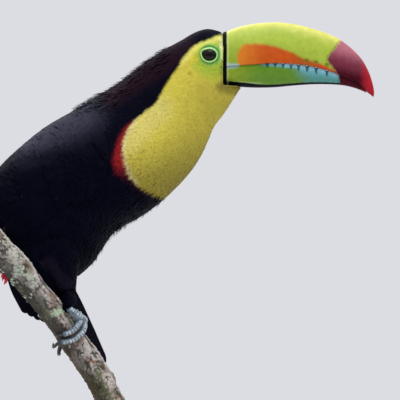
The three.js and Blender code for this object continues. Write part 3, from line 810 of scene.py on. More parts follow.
def scatter(form: Form, spacing: Callable[[Array, Array], Array], s_range: tuple[float, float],
            a_range: tuple[float, float], seed: int) -> tuple[Array, Array]:
    """Evenly spread roots, as far apart as the spacing asks at each place.

    Args:
        form: what the roots lie on.
        spacing: distance between neighbours at given coordinates.
        s_range: first and last s.
        a_range: first and last a.
        seed: seed of the shifts.

    Returns:
        The two coordinates of the roots.
    """
    fine_s, fine_a = 160, 120
    s = np.linspace(*s_range, fine_s)
    a = np.linspace(*a_range, fine_a)
    grid_s, grid_a = np.meshgrid(s, a, indexing="ij")
    _, along, round_, _ = form.axes(grid_s, grid_a)
    area = np.linalg.norm(np.cross(along, round_), axis=-1)
    crowd = area / spacing(grid_s, grid_a) ** 2
    total = crowd.mean() * (s_range[1] - s_range[0]) * (a_range[1] - a_range[0])
    count = int(total)
    rng = np.random.default_rng(seed)
    k = np.arange(count)
    golden = 1.32471795724474602596  # its powers spread points evenly over a square
    u = (0.5 + k / golden + rng.uniform(-0.2, 0.2, count) / math.sqrt(count)) % 1
    v = (0.5 + k / golden**2 + rng.uniform(-0.2, 0.2, count) / math.sqrt(count)) % 1
    rows = np.concatenate([[0], np.cumsum(crowd.mean(1))])
    rows = rows / rows[-1]
    found_s = np.interp(u, rows, np.linspace(*s_range, len(rows)))
    columns = np.concatenate([np.zeros((fine_s, 1)), np.cumsum(crowd, axis=1)], axis=1)
    columns = columns / columns[:, -1:]
    edges = np.linspace(*a_range, fine_a + 1)
    row = np.clip(np.round((found_s - s[0]) / (s[1] - s[0])).astype(int), 0, fine_s - 1)
    found_a = np.empty(count)
    for r in range(fine_s):
        here = row == r
        found_a[here] = np.interp(v[here], columns[r], edges)
    order = np.argsort(found_s)
    return found_s[order], found_a[order]


# ------------------------------------------------------------------ materials


def add_node(tree: bpy.types.NodeTree, kind: str, values: dict[str, object] | None = None,
             links: dict[str, bpy.types.NodeSocket] | None = None, **settings: object) -> bpy.types.Node:
    """Adds a node with its settings, its unlinked values and its links.

    Args:
        tree: the tree it goes in.
        kind: its type, as in "ShaderNodeTexNoise".
        values: values of its inputs by name or number.
        links: sockets linked to its inputs by name or number.
        settings: properties set on the node itself.

    Returns:
        The node.
    """
    node = tree.nodes.new(kind)
    for title, value in settings.items():
        setattr(node, title, value)
    for title, value in (values or {}).items():
        node.inputs[title].default_value = value
    for title, socket in (links or {}).items():
        tree.links.new(socket, node.inputs[title])
    return node


@dataclass
class Finish:
    """A material being built round one Principled shader."""

    name: str
    tree: bpy.types.NodeTree = field(init=False)
    shader: bpy.types.Node = field(init=False)
    material: bpy.types.Material = field(init=False)

    def __post_init__(self) -> None:
        """Starts the material with its shader."""
        self.material = bpy.data.materials.new(self.name)
        self.material.use_nodes = True
        self.tree = self.material.node_tree
        self.shader = self.tree.nodes["Principled BSDF"]

    def set(self, **values: object) -> "Finish":
        """Sets the shader's own sockets; an underscore stands for a space."""
        for title, value in values.items():
            self.shader.inputs[title.replace("_", " ")].default_value = value
        return self

    def node(self, kind: str, values: dict[str, object] | None = None,
             links: dict[str, bpy.types.NodeSocket] | None = None, **settings: object) -> bpy.types.Node:
        """Adds a node to this material."""
        return add_node(self.tree, kind, values, links, **settings)

    def object_place(self) -> bpy.types.NodeSocket:
        """Place on the object, in metres."""
        return self.node("ShaderNodeTexCoord").outputs["Object"]

    def attribute(self, name: str) -> bpy.types.Node:
        """The node that reads a mesh attribute."""
        return self.node("ShaderNodeAttribute", attribute_name=name)

    def noise(self, place: bpy.types.NodeSocket, size_mm: float, detail: float = 3.0,
              rough: float = 0.55, stretch: tuple[float, float, float] | None = None) -> bpy.types.NodeSocket:
        """Noise with one bump for each size in millimetres, stretched along axes if asked."""
        if stretch:
            place = self.node("ShaderNodeMapping", {"Scale": stretch}, {"Vector": place}).outputs[0]
        values = {"Scale": 1 / (size_mm * MM), "Detail": detail, "Roughness": rough}
        return self.node("ShaderNodeTexNoise", values, {"Vector": place}).outputs["Fac"]

    def ramp(self, source: bpy.types.NodeSocket, low: float, high: float, out_low: float = 0.0,
             out_high: float = 1.0) -> bpy.types.NodeSocket:
        """A number mapped from one range to another."""
        values = {"From Min": low, "From Max": high, "To Min": out_low, "To Max": out_high}
        return self.node("ShaderNodeMapRange", values, {"Value": source}).outputs[0]

    def blend(self, share: bpy.types.NodeSocket | float, a: object, b: object,
              mode: str = "MIX") -> bpy.types.NodeSocket:
        """Two colours mixed by a share; each is a socket or a full colour."""
        node = self.node("ShaderNodeMix", data_type="RGBA", blend_type=mode)
        for index, value in ((0, share), (6, a), (7, b)):
            if isinstance(value, bpy.types.NodeSocket):
                self.tree.links.new(value, node.inputs[index])
            else:
                node.inputs[index].default_value = value
        return node.outputs[2]

    def link(self, title: str, source: bpy.types.NodeSocket) -> None:
        """Links a socket to one of the shader's inputs."""
        self.tree.links.new(source, self.shader.inputs[title])

    def bump(self, height: bpy.types.NodeSocket, depth_mm: float, strength: float = 1.0) -> None:
        """Relief of a real depth in millimetres, over any relief that is already there."""
        links = {"Height": height}
        before = self.shader.inputs["Normal"].links
        if before:
            links["Normal"] = before[0].from_socket
        node = self.node("ShaderNodeBump", {"Strength": strength, "Distance": depth_mm * MM}, links)
        self.link("Normal", node.outputs[0])


def plumage(name: str, *, roughness: float, sheen: float, sheen_tint: str, barb_mm: float = 0.35,
            painted_blue_sheen: float = 0.0) -> bpy.types.Material:
    """Feather vanes: keratin barbs, soft to the light, each vane with a fine comb of barbs.

    Args:
        name: the material's name.
        roughness: roughness of the vane.
        sheen: weight of the soft light on its barbules.
        sheen_tint: colour of that light.
        barb_mm: distance between barbs, drawn coarser than the real 0.1 mm so that it shows.
        painted_blue_sheen: share of a painted blue-grey sheen, mixed into the base colour in patches on black
            feathers.

    Returns:
        The material.
    """
    made = Finish(name).set(Sheen_Weight=sheen, Sheen_Roughness=0.45, Sheen_Tint=rgba(sheen_tint),
                            IOR=1.54, Specular_IOR_Level=0.1)
    marking = made.attribute("marking").outputs["Color"]
    place = made.object_place()
    # Patches of lighter and darker barbs, a few millimetres wide.
    patches = made.ramp(made.noise(place, 6.0), 0.3, 0.7, 0.93, 1.05)
    tone = made.node("ShaderNodeVectorMath", {}, {0: marking, 1: patches}, operation="MULTIPLY").outputs[0]
    if painted_blue_sheen:
        # Painted sheen of black feathers: the base colour takes a steel-blue cast in soft patches.
        cast = made.ramp(made.noise(place, 14.0, 2.0), 0.45, 0.7, 0.0, painted_blue_sheen)
        tone = made.blend(cast, tone, rgba("23243a"))
    made.link("Base Color", tone)
    light = made.node("ShaderNodeSeparateColor", {}, {0: marking}).outputs[1]
    made.link("Specular Tint", made.blend(made.ramp(light, 0.02, 0.12), rgba("5a66b4"), rgba("ffffff")))
    uneven = made.ramp(made.noise(place, 2.5), 0.3, 0.7, roughness - 0.06, roughness + 0.08)
    made.link("Roughness", uneven)
    # Barbs run out from the shaft at a slant; the second map runs across and along each vane.
    vane = made.node("ShaderNodeUVMap", uv_map="Vane").outputs[0]
    parts = made.node("ShaderNodeSeparateXYZ", {}, {0: vane})
    aside = made.node("ShaderNodeMath", {1: 0.5}, {0: parts.outputs[0]}, operation="SUBTRACT")
    aside = made.node("ShaderNodeMath", {}, {0: aside.outputs[0]}, operation="ABSOLUTE")
    slant = made.node("ShaderNodeMath", {1: 0.9}, {0: aside.outputs[0]}, operation="MULTIPLY")
    comb = made.node("ShaderNodeMath", {}, {0: parts.outputs[1], 1: slant.outputs[0]}, operation="SUBTRACT")
    count = 2 * math.pi * 9 / barb_mm
    comb = made.node("ShaderNodeMath", {1: count}, {0: comb.outputs[0]}, operation="MULTIPLY")
    comb = made.node("ShaderNodeMath", {}, {0: comb.outputs[0]}, operation="SINE")
    made.bump(comb.outputs[0], 0.05, 0.35)
    return made.material


def bare_skin() -> bpy.types.Material:
    """Skin under the plumage and round the eye: dry and finely pebbled, soft to the light."""
    made = Finish("bird_skin_with_down").set(IOR=1.4, Specular_IOR_Level=0.4, Subsurface_Weight=0.05,
                                             Subsurface_Scale=0.5 * MM)
    place = made.object_place()
    marking = made.attribute("marking").outputs["Color"]
    shade = made.ramp(made.noise(place, 1.2), 0.3, 0.7, 0.85, 1.1)
    made.link("Base Color", made.node("ShaderNodeVectorMath", {}, {0: marking, 1: shade},
                                      operation="MULTIPLY").outputs[0])
    made.link("Roughness", made.ramp(made.noise(place, 0.9), 0.3, 0.7, 0.5, 0.75))
    pebbles = made.node("ShaderNodeTexVoronoi", {"Scale": 1 / (0.8 * MM)}, {"Vector": place})
    made.bump(pebbles.outputs["Distance"], 0.12, 0.6)
    return made.material


# ------------------------------------------------------------------ geometry nodes


def tool_tree(name: str, inputs: Sequence[tuple[str, str, object]]) -> tuple[
        bpy.types.NodeTree, bpy.types.Node, bpy.types.Node, dict[str, str]]:
    """A Geometry Nodes tree with named inputs.

    Args:
        name: the tree's name.
        inputs: name, socket type and default of each input after the geometry.

    Returns:
        The tree, its input and output nodes, and the identifier of each named input.
    """
    tree = bpy.data.node_groups.new(name, "GeometryNodeTree")
    tree.interface.new_socket("Geometry", in_out="INPUT", socket_type="NodeSocketGeometry")
    tree.interface.new_socket("Geometry", in_out="OUTPUT", socket_type="NodeSocketGeometry")
    known = {}
    for title, kind, default in inputs:
        socket = tree.interface.new_socket(title, in_out="INPUT", socket_type=kind)
        if default is not None:
            socket.default_value = default
        known[title] = socket.identifier
    return tree, tree.nodes.new("NodeGroupInput"), tree.nodes.new("NodeGroupOutput"), known


def run_tool(carrier: bpy.types.Object, tree: bpy.types.NodeTree, known: dict[str, str],
             values: dict[str, object], name: str) -> bpy.types.Object:
    """Runs a tree on a mesh and leaves only the plain mesh that it makes.

    Args:
        carrier: the object whose mesh goes in; it is removed afterwards.
        tree: the tree.
        known: identifiers of its inputs.
        values: values of its inputs by name.
        name: name of the new piece.

    Returns:
        The new piece.
    """
    modifier = carrier.modifiers.new(tree.name, "NODES")
    modifier.node_group = tree
    for title, value in values.items():
        modifier[known[title]] = value
    graph = bpy.context.evaluated_depsgraph_get()
    mesh = bpy.data.meshes.new_from_object(carrier.evaluated_get(graph))
    mesh.name = name
    carrier.modifiers.remove(modifier)
    bpy.data.objects.remove(carrier)
    piece = bpy.data.objects.new(name, mesh)
    bpy.context.collection.objects.link(piece)
    return piece


def stamped(name: str, points: Array, normals: Array, ways: Array, sizes: Array,
            stamp: bpy.types.Object, material: bpy.types.Material) -> bpy.types.Object:
    """Copies of one small shape, each turned to its own normal and way and scaled.

    Args:
        name: name of the joined piece.
        points: places of the copies, in millimetres.
        normals: where each copy's Z points.
        ways: where each copy's X points.
        sizes: scale of each copy, as one number or three.
        stamp: the small shape, in metres round its own origin; it is removed afterwards.
        material: finish of the copies.

    Returns:
        The joined piece.
    """
    tree, start, end, known = tool_tree(f"{name}_stamps", [
        ("Shape", "NodeSocketObject", None), ("Finish", "NodeSocketMaterial", None)])
    shape = add_node(tree, "GeometryNodeObjectInfo", {}, {"Object": start.outputs["Shape"]})
    way = add_node(tree, "GeometryNodeInputNamedAttribute", {"Name": "way"}, data_type="FLOAT_VECTOR")
    normal = add_node(tree, "GeometryNodeInputNamedAttribute", {"Name": "facing"}, data_type="FLOAT_VECTOR")
    size = add_node(tree, "GeometryNodeInputNamedAttribute", {"Name": "size"}, data_type="FLOAT_VECTOR")
    turn = add_node(tree, "FunctionNodeAlignRotationToVector", {}, {"Vector": normal.outputs[0]}, axis="Z")
    turn = add_node(tree, "FunctionNodeAlignRotationToVector", {},
                    {"Rotation": turn.outputs[0], "Vector": way.outputs[0]}, axis="X", pivot_axis="Z")
    copies = add_node(tree, "GeometryNodeInstanceOnPoints", {}, {
        "Points": start.outputs["Geometry"], "Instance": shape.outputs["Geometry"],
        "Rotation": turn.outputs[0], "Scale": size.outputs[0]})
    real = add_node(tree, "GeometryNodeRealizeInstances", {}, {"Geometry": copies.outputs[0]})
    dressed = add_node(tree, "GeometryNodeSetMaterial", {}, {
        "Geometry": real.outputs[0], "Material": start.outputs["Finish"]})
    tree.links.new(dressed.outputs[0], end.inputs[0])
    mesh = bpy.data.meshes.new(f"{name}_points")
    mesh.vertices.add(len(points))
    mesh.vertices.foreach_set("co", (np.asarray(points) * MM).ravel())
    sizes = np.broadcast_to(np.asarray(sizes, dtype=float).reshape(len(points), -1), (len(points), 3))
    for title, rows in (("way", ways), ("facing", normals), ("size", sizes)):
        layer = mesh.attributes.new(title, "FLOAT_VECTOR", "POINT")
        layer.data.foreach_set("vector", np.ascontiguousarray(rows, dtype=np.float32).ravel())
    carrier = bpy.data.objects.new(mesh.name, mesh)
    bpy.context.collection.objects.link(carrier)
    piece = run_tool(carrier, tree, known, {"Shape": stamp, "Finish": material}, name)
    bpy.data.objects.remove(stamp)
    if not piece.data.materials:
        piece.data.materials.append(material)
    return piece


def settle(piece: bpy.types.Object, slot: str, *nodes: str) -> bpy.types.Object:
    """Rides a finished piece on the still model and hides the nodes it stands for."""
    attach(piece, "root")
    if nodes:
        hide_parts(*nodes)
    log.info("%s: %d faces", piece.name, len(piece.data.polygons))
    return piece


# ------------------------------------------------------------------ skin


THIGHS = {
    Side.RIGHT: ThighForm(((-34, -15, 200, 25), (-28, -17, 179, 21), (-24, -17, 163, 13.5),
                           (-20.5, -16, 151, 8.7), (-18.5, -24, 144, 6.8), (-19.5, -31.5, 136.5, 4.9))),
    Side.LEFT: ThighForm(((-40, 15, 198, 24), (-38, 12, 178, 18), (-37, 5, 162, 11.5),
                          (-35.5, -3, 152, 7.5), (-34, -7, 145, 5.2))),
}
FLANK = ThighForm(((-48, -12, 192, 22), (-45, -19, 175, 16), (-41, -20, 163, 11), (-33, -17, 150, 7),
                   (-27, -15, 142, 3.5)))
BODY = BodyForm()
WINGS = {side: WingForm(side, BODY) for side in Side}
TAIL = TailForm()


@dataclass(frozen=True)
class EyeSocket:
    """Where the eye sits and how far the bare skin reaches round it."""

    x: float = 107.4
    y: float = 13.9
    z: float = 364.3
    ball: float = 7.5  # radius of the eyeball
    opening: float = 5.9  # half width of the opening between the lids
    opening_tall: float = 5.1  # half height of it
    # Reach of the bare skin at every 30 degrees, from the bill round over the crown.
    reach: tuple[float, ...] = (11.9, 13.2, 11.8, 11.4, 11.0, 10.6, 10.2, 10.4, 11.4, 13.4, 16.0, 13.6)

    corner: float = 0.15  # how far the rear upper corner of the opening is drawn out
    corner_at: float = 158.0  # its angle in degrees

    def lid(self, angle: Array) -> Array:
        """Reach of the opening between the lids at angles round the eye."""
        wide, tall = np.cos(angle) / self.opening, np.sin(angle) / self.opening_tall
        drawn = np.maximum(0, np.cos(angle - math.radians(self.corner_at)))
        return 1 / np.sqrt(wide**2 + tall**2) * (1 + self.corner * drawn**10)

    def edge(self, angle: Array) -> Array:
        """Reach of the bare skin at angles round the eye."""
        rows = np.array([self.reach[-1], *self.reach, *self.reach[:2]])[:, None]
        return blend(rows, 1 + (angle / (math.pi / 6)) % 12)[..., 0]

    def inside(self, x: Array, z: Array, margin: float = 0.0) -> Array:
        """Whether places of the side view lie on the bare skin."""
        dx, dz = x - self.x, z - self.z
        return np.hypot(dx, dz) < self.edge(np.arctan2(dz, dx)) - margin


SOCKET = EyeSocket()
HEAD_SIDE = 8.0  # further than this from the midplane, a place is on one side of the head


@dataclass
class Skin:
    """One skin under all the plumage, with the bare skin and the lids round each eye."""

    voxel: float = 1.6  # width of the cells that melt the limbs into the body
    thigh_depth: float = 3.0
    wing_depth: float = 2.6
    wing_thick: float = 5.0
    # height over the face, distance from the lid's edge and width of the rim, groove and fold of a lid
    lid_folds: tuple[tuple[float, float, float], ...] = ((1.0, 1.1, 0.8), (-0.25, 2.5, 0.7), (0.3, 3.5, 0.6))
    lid_over_ball: float = 0.6
    face_thick: float = 1.3  # thickness of the bare face's shell
    sink: float = 3.0  # depth of the hollow behind the lids
    sink_reach: tuple[float, float] = (10.5, 8.0)  # where the hollow begins and is full, from the eye
    bill_wall: float = 119.5  # x where the skin ends behind the bill's rim

    @staticmethod
    def depth(s: Array) -> Array:
        """Depth of the skin under the feather tips along the body."""
        return np.interp(s, (0, 2, 4, 7, 10), (0.9, 1.0, 1.5, 2.4, 3.2))

    def body_parts(self) -> list[tuple[Array, list[list[int]]]]:
        """Closed forms of body, thighs, wings and tail root, inside their plumage."""
        turns = full_turn(96)
        s, a = np.meshgrid(np.linspace(0.05, BODY.last - 0.1, 150), turns, indexing="ij")
        parts = [closed_tube(BODY.raised(s, a, -self.depth(s)))]
        for thigh in (*THIGHS.values(), FLANK):
            s, a = np.meshgrid(np.linspace(0, thigh.last - 0.1, 24), turns[::3], indexing="ij")
            tuck = np.interp(s, (0, 1, thigh.last), (3 * self.thigh_depth, self.thigh_depth, 1.8))
            parts.append(closed_tube(thigh.raised(s, a, -tuck)))
        for wing in WINGS.values():
            s, a = np.meshgrid(np.linspace(0.5, 5.4, 28), np.linspace(0.16, 0.84, 12), indexing="ij")
            outer = wing.raised(s, a, -self.wing_depth)
            inner = outer[:, ::-1] - np.array([0, wing.side.value * self.wing_thick, 0])
            parts.append(closed_tube(np.concatenate([outer, inner], axis=1)))
        s, a = np.meshgrid(np.linspace(0.08, 0.3, 10), turns[::3], indexing="ij")
        parts.append(closed_tube(TAIL.raised(s, a, -3.2)))
        return parts

    def melted(self) -> tuple[Array, Array]:
        """Points and faces of the parts melted to one closed skin."""
        points, faces = join_parts(self.body_parts())
        rough = mesh_object("skin_parts", points, faces)
        remesh = rough.modifiers.new("melt", "REMESH")
        remesh.mode = "VOXEL"
        remesh.voxel_size = self.voxel * MM
        relax = rough.modifiers.new("relax", "SMOOTH")
        relax.factor = 0.5
        relax.iterations = 4
        mesh = bpy.data.meshes.new_from_object(rough.evaluated_get(bpy.context.evaluated_depsgraph_get()))
        bpy.data.objects.remove(rough)
        places = np.empty(len(mesh.vertices) * 3)
        mesh.vertices.foreach_get("co", places)
        loops = np.empty(len(mesh.loops), dtype=np.int32)
        mesh.loops.foreach_get("vertex_index", loops)
        places = places.reshape(-1, 3) / MM
        # Behind the bill the skin ends at a wall, and under it the chin runs on just inside the keel.
        x, z = places[:, 0], places[:, 2]
        keel = Bill.keel_at(x) + 0.7
        wall = np.interp(z, (354.0, 385.0), (self.bill_wall, self.bill_wall + 0.9))
        chin = (x > wall) & (z > keel) & (z < 346)
        share = np.clip((346 - z) / (346 - keel), 0, 1) ** 2
        places[:, 0] = np.where(chin, wall + (x - wall) * share, np.where(z > keel, np.minimum(x, wall), x))
        places[:, 2] = np.where(chin, keel, z)
        places[:, 1] *= np.where(chin, 0.85, 1)
        # Behind the lids it sinks, so that it stays under the bare face.
        around = np.hypot(places[:, 0] - SOCKET.x, places[:, 2] - SOCKET.z)
        beside = np.abs(places[:, 1]) > HEAD_SIDE
        places[:, 1] -= np.sign(places[:, 1]) * self.sink * smooth(*self.sink_reach, around) * beside
        return places, loops.reshape(-1, 4)

    def face_patch(self, side: Side) -> tuple[Array, Array, Array]:
        """Bare skin round one eye with the lids, as points, faces and colours.

        The patch is a shell: its outer face carries the folds, and its back closes it underneath.
        """
        rings, spokes = 44, 160
        spread = np.linspace(0, 1, rings) ** 1.25  # closer together near the lid
        t, angle = np.meshgrid(spread, full_turn(spokes), indexing="ij")
        lid = SOCKET.lid(angle)
        reach = lid + (SOCKET.edge(angle) - lid) * t
        x = SOCKET.x + reach * np.cos(angle)
        z = SOCKET.z + reach * np.sin(angle)
        out = reach - lid  # distance from the lid's edge
        face = BODY.half_at(x, z)
        ball = SOCKET.y + np.sqrt(np.maximum(SOCKET.ball**2 - reach**2, 0)) + self.lid_over_ball
        height = face
        for rise, at, wide in self.lid_folds:
            height = height + rise * np.exp(-((out - at) / wide) ** 2)
        folds = 0.16 * np.sin(out * 2 * math.pi / 1.5 + 0.7 * np.sin(3 * angle)) * smooth(3.5, 5, out)
        pebble = 0.07 * ripple(np.stack([x, z, z * 0], axis=-1), 1.4, 5)
        height = height + folds + pebble
        near_lid = smooth(1.6, 0.0, out)
        height = height + (np.maximum(ball, height - 0.4) - height) * near_lid
        height = height - 0.5 * smooth(0.85, 1.0, t)
        height = np.maximum(height, ball - 0.4)  # the lid lies over the ball
        lip = smooth(0.4, 0.0, out)
        height = height - 1.0 * lip
        outer = np.stack([x, side.value * height, z], axis=-1)
        back = np.stack([x, side.value * (height - self.face_thick), z], axis=-1)
        shell = np.concatenate([outer, back[::-1]])
        faces = grid_faces(2 * rings, spokes)
        closing = grid_faces(2, spokes)
        last = (2 * rings - 1) * spokes
        closing = np.where(closing < spokes, closing + last, closing - spokes)
        faces = np.concatenate([faces, closing])
        colours = self.face_colours(out, t, outer)
        if side is Side.RIGHT:
            faces = faces[:, ::-1]
        return shell.reshape(-1, 3), faces, colours

    @staticmethod
    def face_colours(out: Array, t: Array, outer: Array) -> Array:
        """Colours of the bare skin: bright lid, darker ring with painted shade in the fold round the lid and
        at its edge, mint before and above, yellower elsewhere.
        """
        x, z = outer[..., 0], outer[..., 2]
        mint, lime, olive = srgb("90c058"), srgb("b4c645"), srgb("a2b52f")
        colour = mix(mint * np.ones((*x.shape, 3)), olive, smooth(-3, -12, z - SOCKET.z))
        colour = mix(colour, lime, smooth(-4, -9, x - SOCKET.x))
        halo = smooth(6.5, 2.5, out) * (0.72 + 0.2 * np.cos(np.arctan2(z - SOCKET.z, x - SOCKET.x) - 0.5))
        colour = mix(colour, srgb("62a043"), np.clip(halo, 0, 0.85))
        # Painted shade in the fold round the lid and where the lid meets the eye.
        dark = 0.55 * np.exp(-((out - 2.9) / 0.8) ** 2) + 0.9 * smooth(0.6, 0.0, out)
        colour = mix(colour, srgb("2f5a2a"), np.clip(0.85 * dark, 0, 1))
        bright = np.exp(-((out - 1.1) / 0.5) ** 2)
        colour = mix(colour, srgb("bcec9a"), 0.95 * bright)
        shade = 1 + 0.1 * ripple(np.stack([x, z, z * 0], axis=-1), 2.2, 8)
        colour = mix(colour * shade[..., None], MARKINGS.at(outer) * 0.92, smooth(0.55, 0.95, t))
        both = np.concatenate([colour, colour[::-1]])
        return both.reshape(-1, 3)

    def build(self) -> bpy.types.Object:
        """Makes the skin and dresses it."""
        points, faces = self.melted()
        all_points, all_faces, colours = [points], [faces], [MARKINGS.at(points) * 0.8]
        start = len(points)
        for side in Side:
            more, those, tint = self.face_patch(side)
            all_points.append(more)
            all_faces.append(those + start)
            colours.append(tint)
            start += len(more)
        piece = mesh_object("skin", np.concatenate(all_points), np.concatenate(all_faces),
                            marking=np.concatenate(colours))
        piece.data.materials.append(bare_skin())
        return settle(piece, "plumage_black", "head", "neck", "trunk", "tail", "wing_right", "wing_left",
                      "thigh_right", "thigh_left")


# ------------------------------------------------------------------ coat


@dataclass
class Coat:
    """Contour feathers of head, neck, trunk and thighs."""

    longer: float = 5.0  # length of a feather over the distance between neighbours
    wider: float = 1.4
    lid_margin: float = 1.9  # feather tips reach this far on to the bare skin
    # Named regions with their first and last station.
    regions: tuple[tuple[str, float, float], ...] = (
        ("coat_head", 0.0, 3.1), ("coat_nape_throat", 3.1, 5.1), ("coat_neck", 5.1, 6.5),
        ("coat_bib_edge", 6.5, 8.0),
        ("coat_mantle_breast", 8.0, 10.5), ("coat_back_belly", 10.5, 18.0))
    kind: Vane = Vane()

    @staticmethod
    def spacing(s: Array, a: Array) -> Array:
        """Distance between neighbouring roots, smallest on the face."""
        stations = (0, 1.5, 3, 4.5, 6, 8, 10, 13, 18)
        return np.interp(s, stations, (0.8, 0.9, 1.05, 1.2, 1.35, 1.75, 2.3, 2.7, 2.5))

    @staticmethod
    def bare(points: Array) -> Array:
        """Where no contour feather grows: bill, bare face, and deep under the wings."""
        x, y, z = points[:, 0], points[:, 1], points[:, 2]
        bill = (x > 119.2) & (z > Bill.keel_at(x) - 0.4)
        lids = SOCKET.inside(x, z, 3.4) | (SOCKET.inside(x - 3.5, z - 1, 1.2) & (x > SOCKET.x))
        eyes = lids & (np.abs(y) > HEAD_SIDE)
        rows = np.array(WINGS[Side.LEFT].stations, dtype=float)
        outline = [*map(tuple, rows[:7, :2]), *map(tuple, rows[6::-1, 2:4])]
        wing = (signed(outline, x, z) > 9) & (np.abs(y) > 14)
        return bill | eyes | wing

    def build(self, glossy: bpy.types.Material) -> list[bpy.types.Object]:
        """Makes the coat, one piece for each region."""
        s, a = scatter(BODY, self.spacing, (0.02, BODY.last - 0.15), (0, 2 * math.pi), 21)
        here, along, _, _ = BODY.axes(s, a)
        tips = here + unit(along) * (self.spacing(s, a) * self.longer)[:, None]
        on_lids = SOCKET.inside(tips[:, 0], tips[:, 2], self.lid_margin) & (np.abs(tips[:, 1]) > HEAD_SIDE)
        keep = ~(self.bare(here) | on_lids)
        s, a = s[keep], a[keep]
        rng = np.random.default_rng(22)
        gap = self.spacing(s, a)
        length = gap * self.longer * rng.uniform(0.85, 1.15, len(s))
        length = np.minimum(length, 2.2 + 60 * s)
        depth = np.minimum(Skin.depth(s), np.interp(s, (7.6, 9), (0.12, 0.17)) * length)
        turn = rng.normal(0, 1, len(s)) * np.interp(s, (7.6, 9), (0.07, 0.12))
        laid = lay(BODY, self.kind, s, a, turn=turn, length=length,
                   width=gap * self.wider * rng.uniform(0.85, 1.15, len(s)), depth=depth, rng=rng)
        pieces = []
        for name, first, last in self.regions:
            pieces.append(settle(laid.keep((s >= first) & (s < last)).make(name, glossy),
                                 "plumage_yellow" if last < 6 else "plumage_black"))
        for name, form in (("thigh_right", THIGHS[Side.RIGHT]), ("thigh_left", THIGHS[Side.LEFT]),
                           ("flank_right", FLANK)):
            pieces.append(self.loose(name, form, glossy))
        return pieces

    def loose(self, name: str, form: ThighForm, glossy: bpy.types.Material) -> bpy.types.Object:
        """Loose feathers of a thigh or of the flank over it."""
        s, a = scatter(form, even(2.2), (0.1, form.last - 0.05), (0, 2 * math.pi), 23)
        rng = np.random.default_rng(24)
        laid = lay(form, self.kind, s, a, turn=rng.normal(0, 0.16, len(s)),
                   length=rng.uniform(7.5, 11, len(s)) * np.interp(s, (0, 4), (1, 0.6)),
                   width=rng.uniform(3, 4.2, len(s)), depth=np.interp(s, (0, 4), (3.0, 1.8)), rng=rng)
        return settle(laid.make(f"coat_{name}", glossy), "plumage_black")


# ------------------------------------------------------------------ wings


@dataclass(frozen=True)
class Tract:
    """One set of wing feathers and the part of the wing's face that its roots cover."""

    name: str
    s_range: tuple[float, float]
    a_range: tuple[float, float]
    gap: float  # distance between neighbours, or 0 for one ordered row
    length: float
    width: float
    root: float  # depth of the roots under the wing's face
    tip: float  # height of the tips over it
    count: int = 0  # feathers in an ordered row
    sweep: float = 0.0  # turn towards the lower edge, in radians


LONG_VANE = Vane(places=(0.12, 0.3, 0.5, 0.68, 0.82, 0.92, 0.975),
                 widths=(0.5, 0.78, 0.95, 1.0, 0.95, 0.78, 0.45), ridge=0.045, settle=1.1)


@dataclass
class Wing:
    """A folded wing: coverts in rows over the secondaries, and the primaries to its tip."""

    side: Side
    tracts: tuple[Tract, ...] = (
        Tract("primaries", (4.3, 4.9), (0.5, 0.93), 0, 92, 13, 3.4, -2.2, 9, -0.05),
        Tract("secondaries", (3.3, 3.9), (0.2, 0.62), 0, 74, 17, 2.6, -1.2, 8),
        Tract("tertials", (3.4, 3.7), (0.07, 0.24), 0, 58, 19, 1.8, 0.0, 3),
        Tract("primary_coverts", (3.2, 3.6), (0.62, 0.92), 0, 42, 10, 1.6, -0.6, 7),
        Tract("greater_coverts", (2.7, 2.9), (0.1, 0.9), 0, 36, 13, 1.6, 0.1, 12),
        Tract("median_coverts", (1.9, 2.4), (0.06, 0.94), 6.0, 22, 10, 1.5, 0.5),
        Tract("lesser_coverts", (0.5, 2.0), (0.03, 0.96), 3.6, 13, 6.4, 1.6, 0.6),
        Tract("marginal_coverts", (0.02, 0.6), (0.02, 0.98), 2.5, 8, 4.2, 1.6, 0.5),
    )

    def lay_tract(self, tract: Tract, seed: int) -> Feathers:
        """Lays one set of feathers."""
        form = WINGS[self.side]
        rng = np.random.default_rng(seed)
        if tract.gap:
            s, a = scatter(form, even(tract.gap), tract.s_range, tract.a_range, seed)
            row = np.zeros(len(s))
        else:
            row = np.linspace(0, 1, tract.count)
            s = tract.s_range[0] + (tract.s_range[1] - tract.s_range[0]) * row
            a = tract.a_range[0] + (tract.a_range[1] - tract.a_range[0]) * row
        size = rng.uniform(0.94, 1.06, len(s))
        room = form.last - s  # feathers end inside the wing's tip
        reach = np.minimum(tract.length * size, room * 31)
        kind = replace(LONG_VANE, lift=tract.tip)
        return lay(form, kind, s, a, turn=tract.sweep + rng.normal(0, 0.02 if tract.count else 0.07, len(s)),
                   length=reach, width=tract.width * rng.uniform(0.95, 1.05, len(s)),
                   depth=tract.root + 0.9 * row, rng=rng, roll=0.07 * self.side.value, colour=MARKINGS.dark)

    def build(self, glossy: bpy.types.Material) -> None:
        """Makes the wing, one piece for each tract."""
        for seed, tract in enumerate(self.tracts, 40):
            piece = self.lay_tract(tract, seed).make(f"{tract.name}_{self.side.word}", glossy)
            settle(piece, "plumage_black", f"wing_{self.side.word}")


@dataclass
class Scapulars:
    """Lax feathers of the shoulder that hang over the upper edge of a wing."""

    side: Side
    gap: float = 5.5
    length: float = 24.0
    width: float = 10.5

    def build(self, glossy: bpy.types.Material) -> None:
        """Makes the scapulars of one side."""
        sign = self.side.value
        a_range = (0.5, 1.15) if sign > 0 else (2 * math.pi - 1.15, 2 * math.pi - 0.5)
        s, a = scatter(BODY, even(self.gap), (8.4, 13.2), a_range, 61)
        rng = np.random.default_rng(62)
        kind = replace(LONG_VANE, ridge=0.05, settle=0.9, lift=3.0)
        laid = lay(BODY, kind, s, a, turn=sign * 0.16 + rng.normal(0, 0.12, len(s)),
                   length=self.length * rng.uniform(0.85, 1.15, len(s)),
                   width=self.width * rng.uniform(0.85, 1.15, len(s)), depth=0 * s + 2.0, rng=rng)
        settle(laid.make(f"scapulars_{self.side.word}", glossy), "plumage_black")


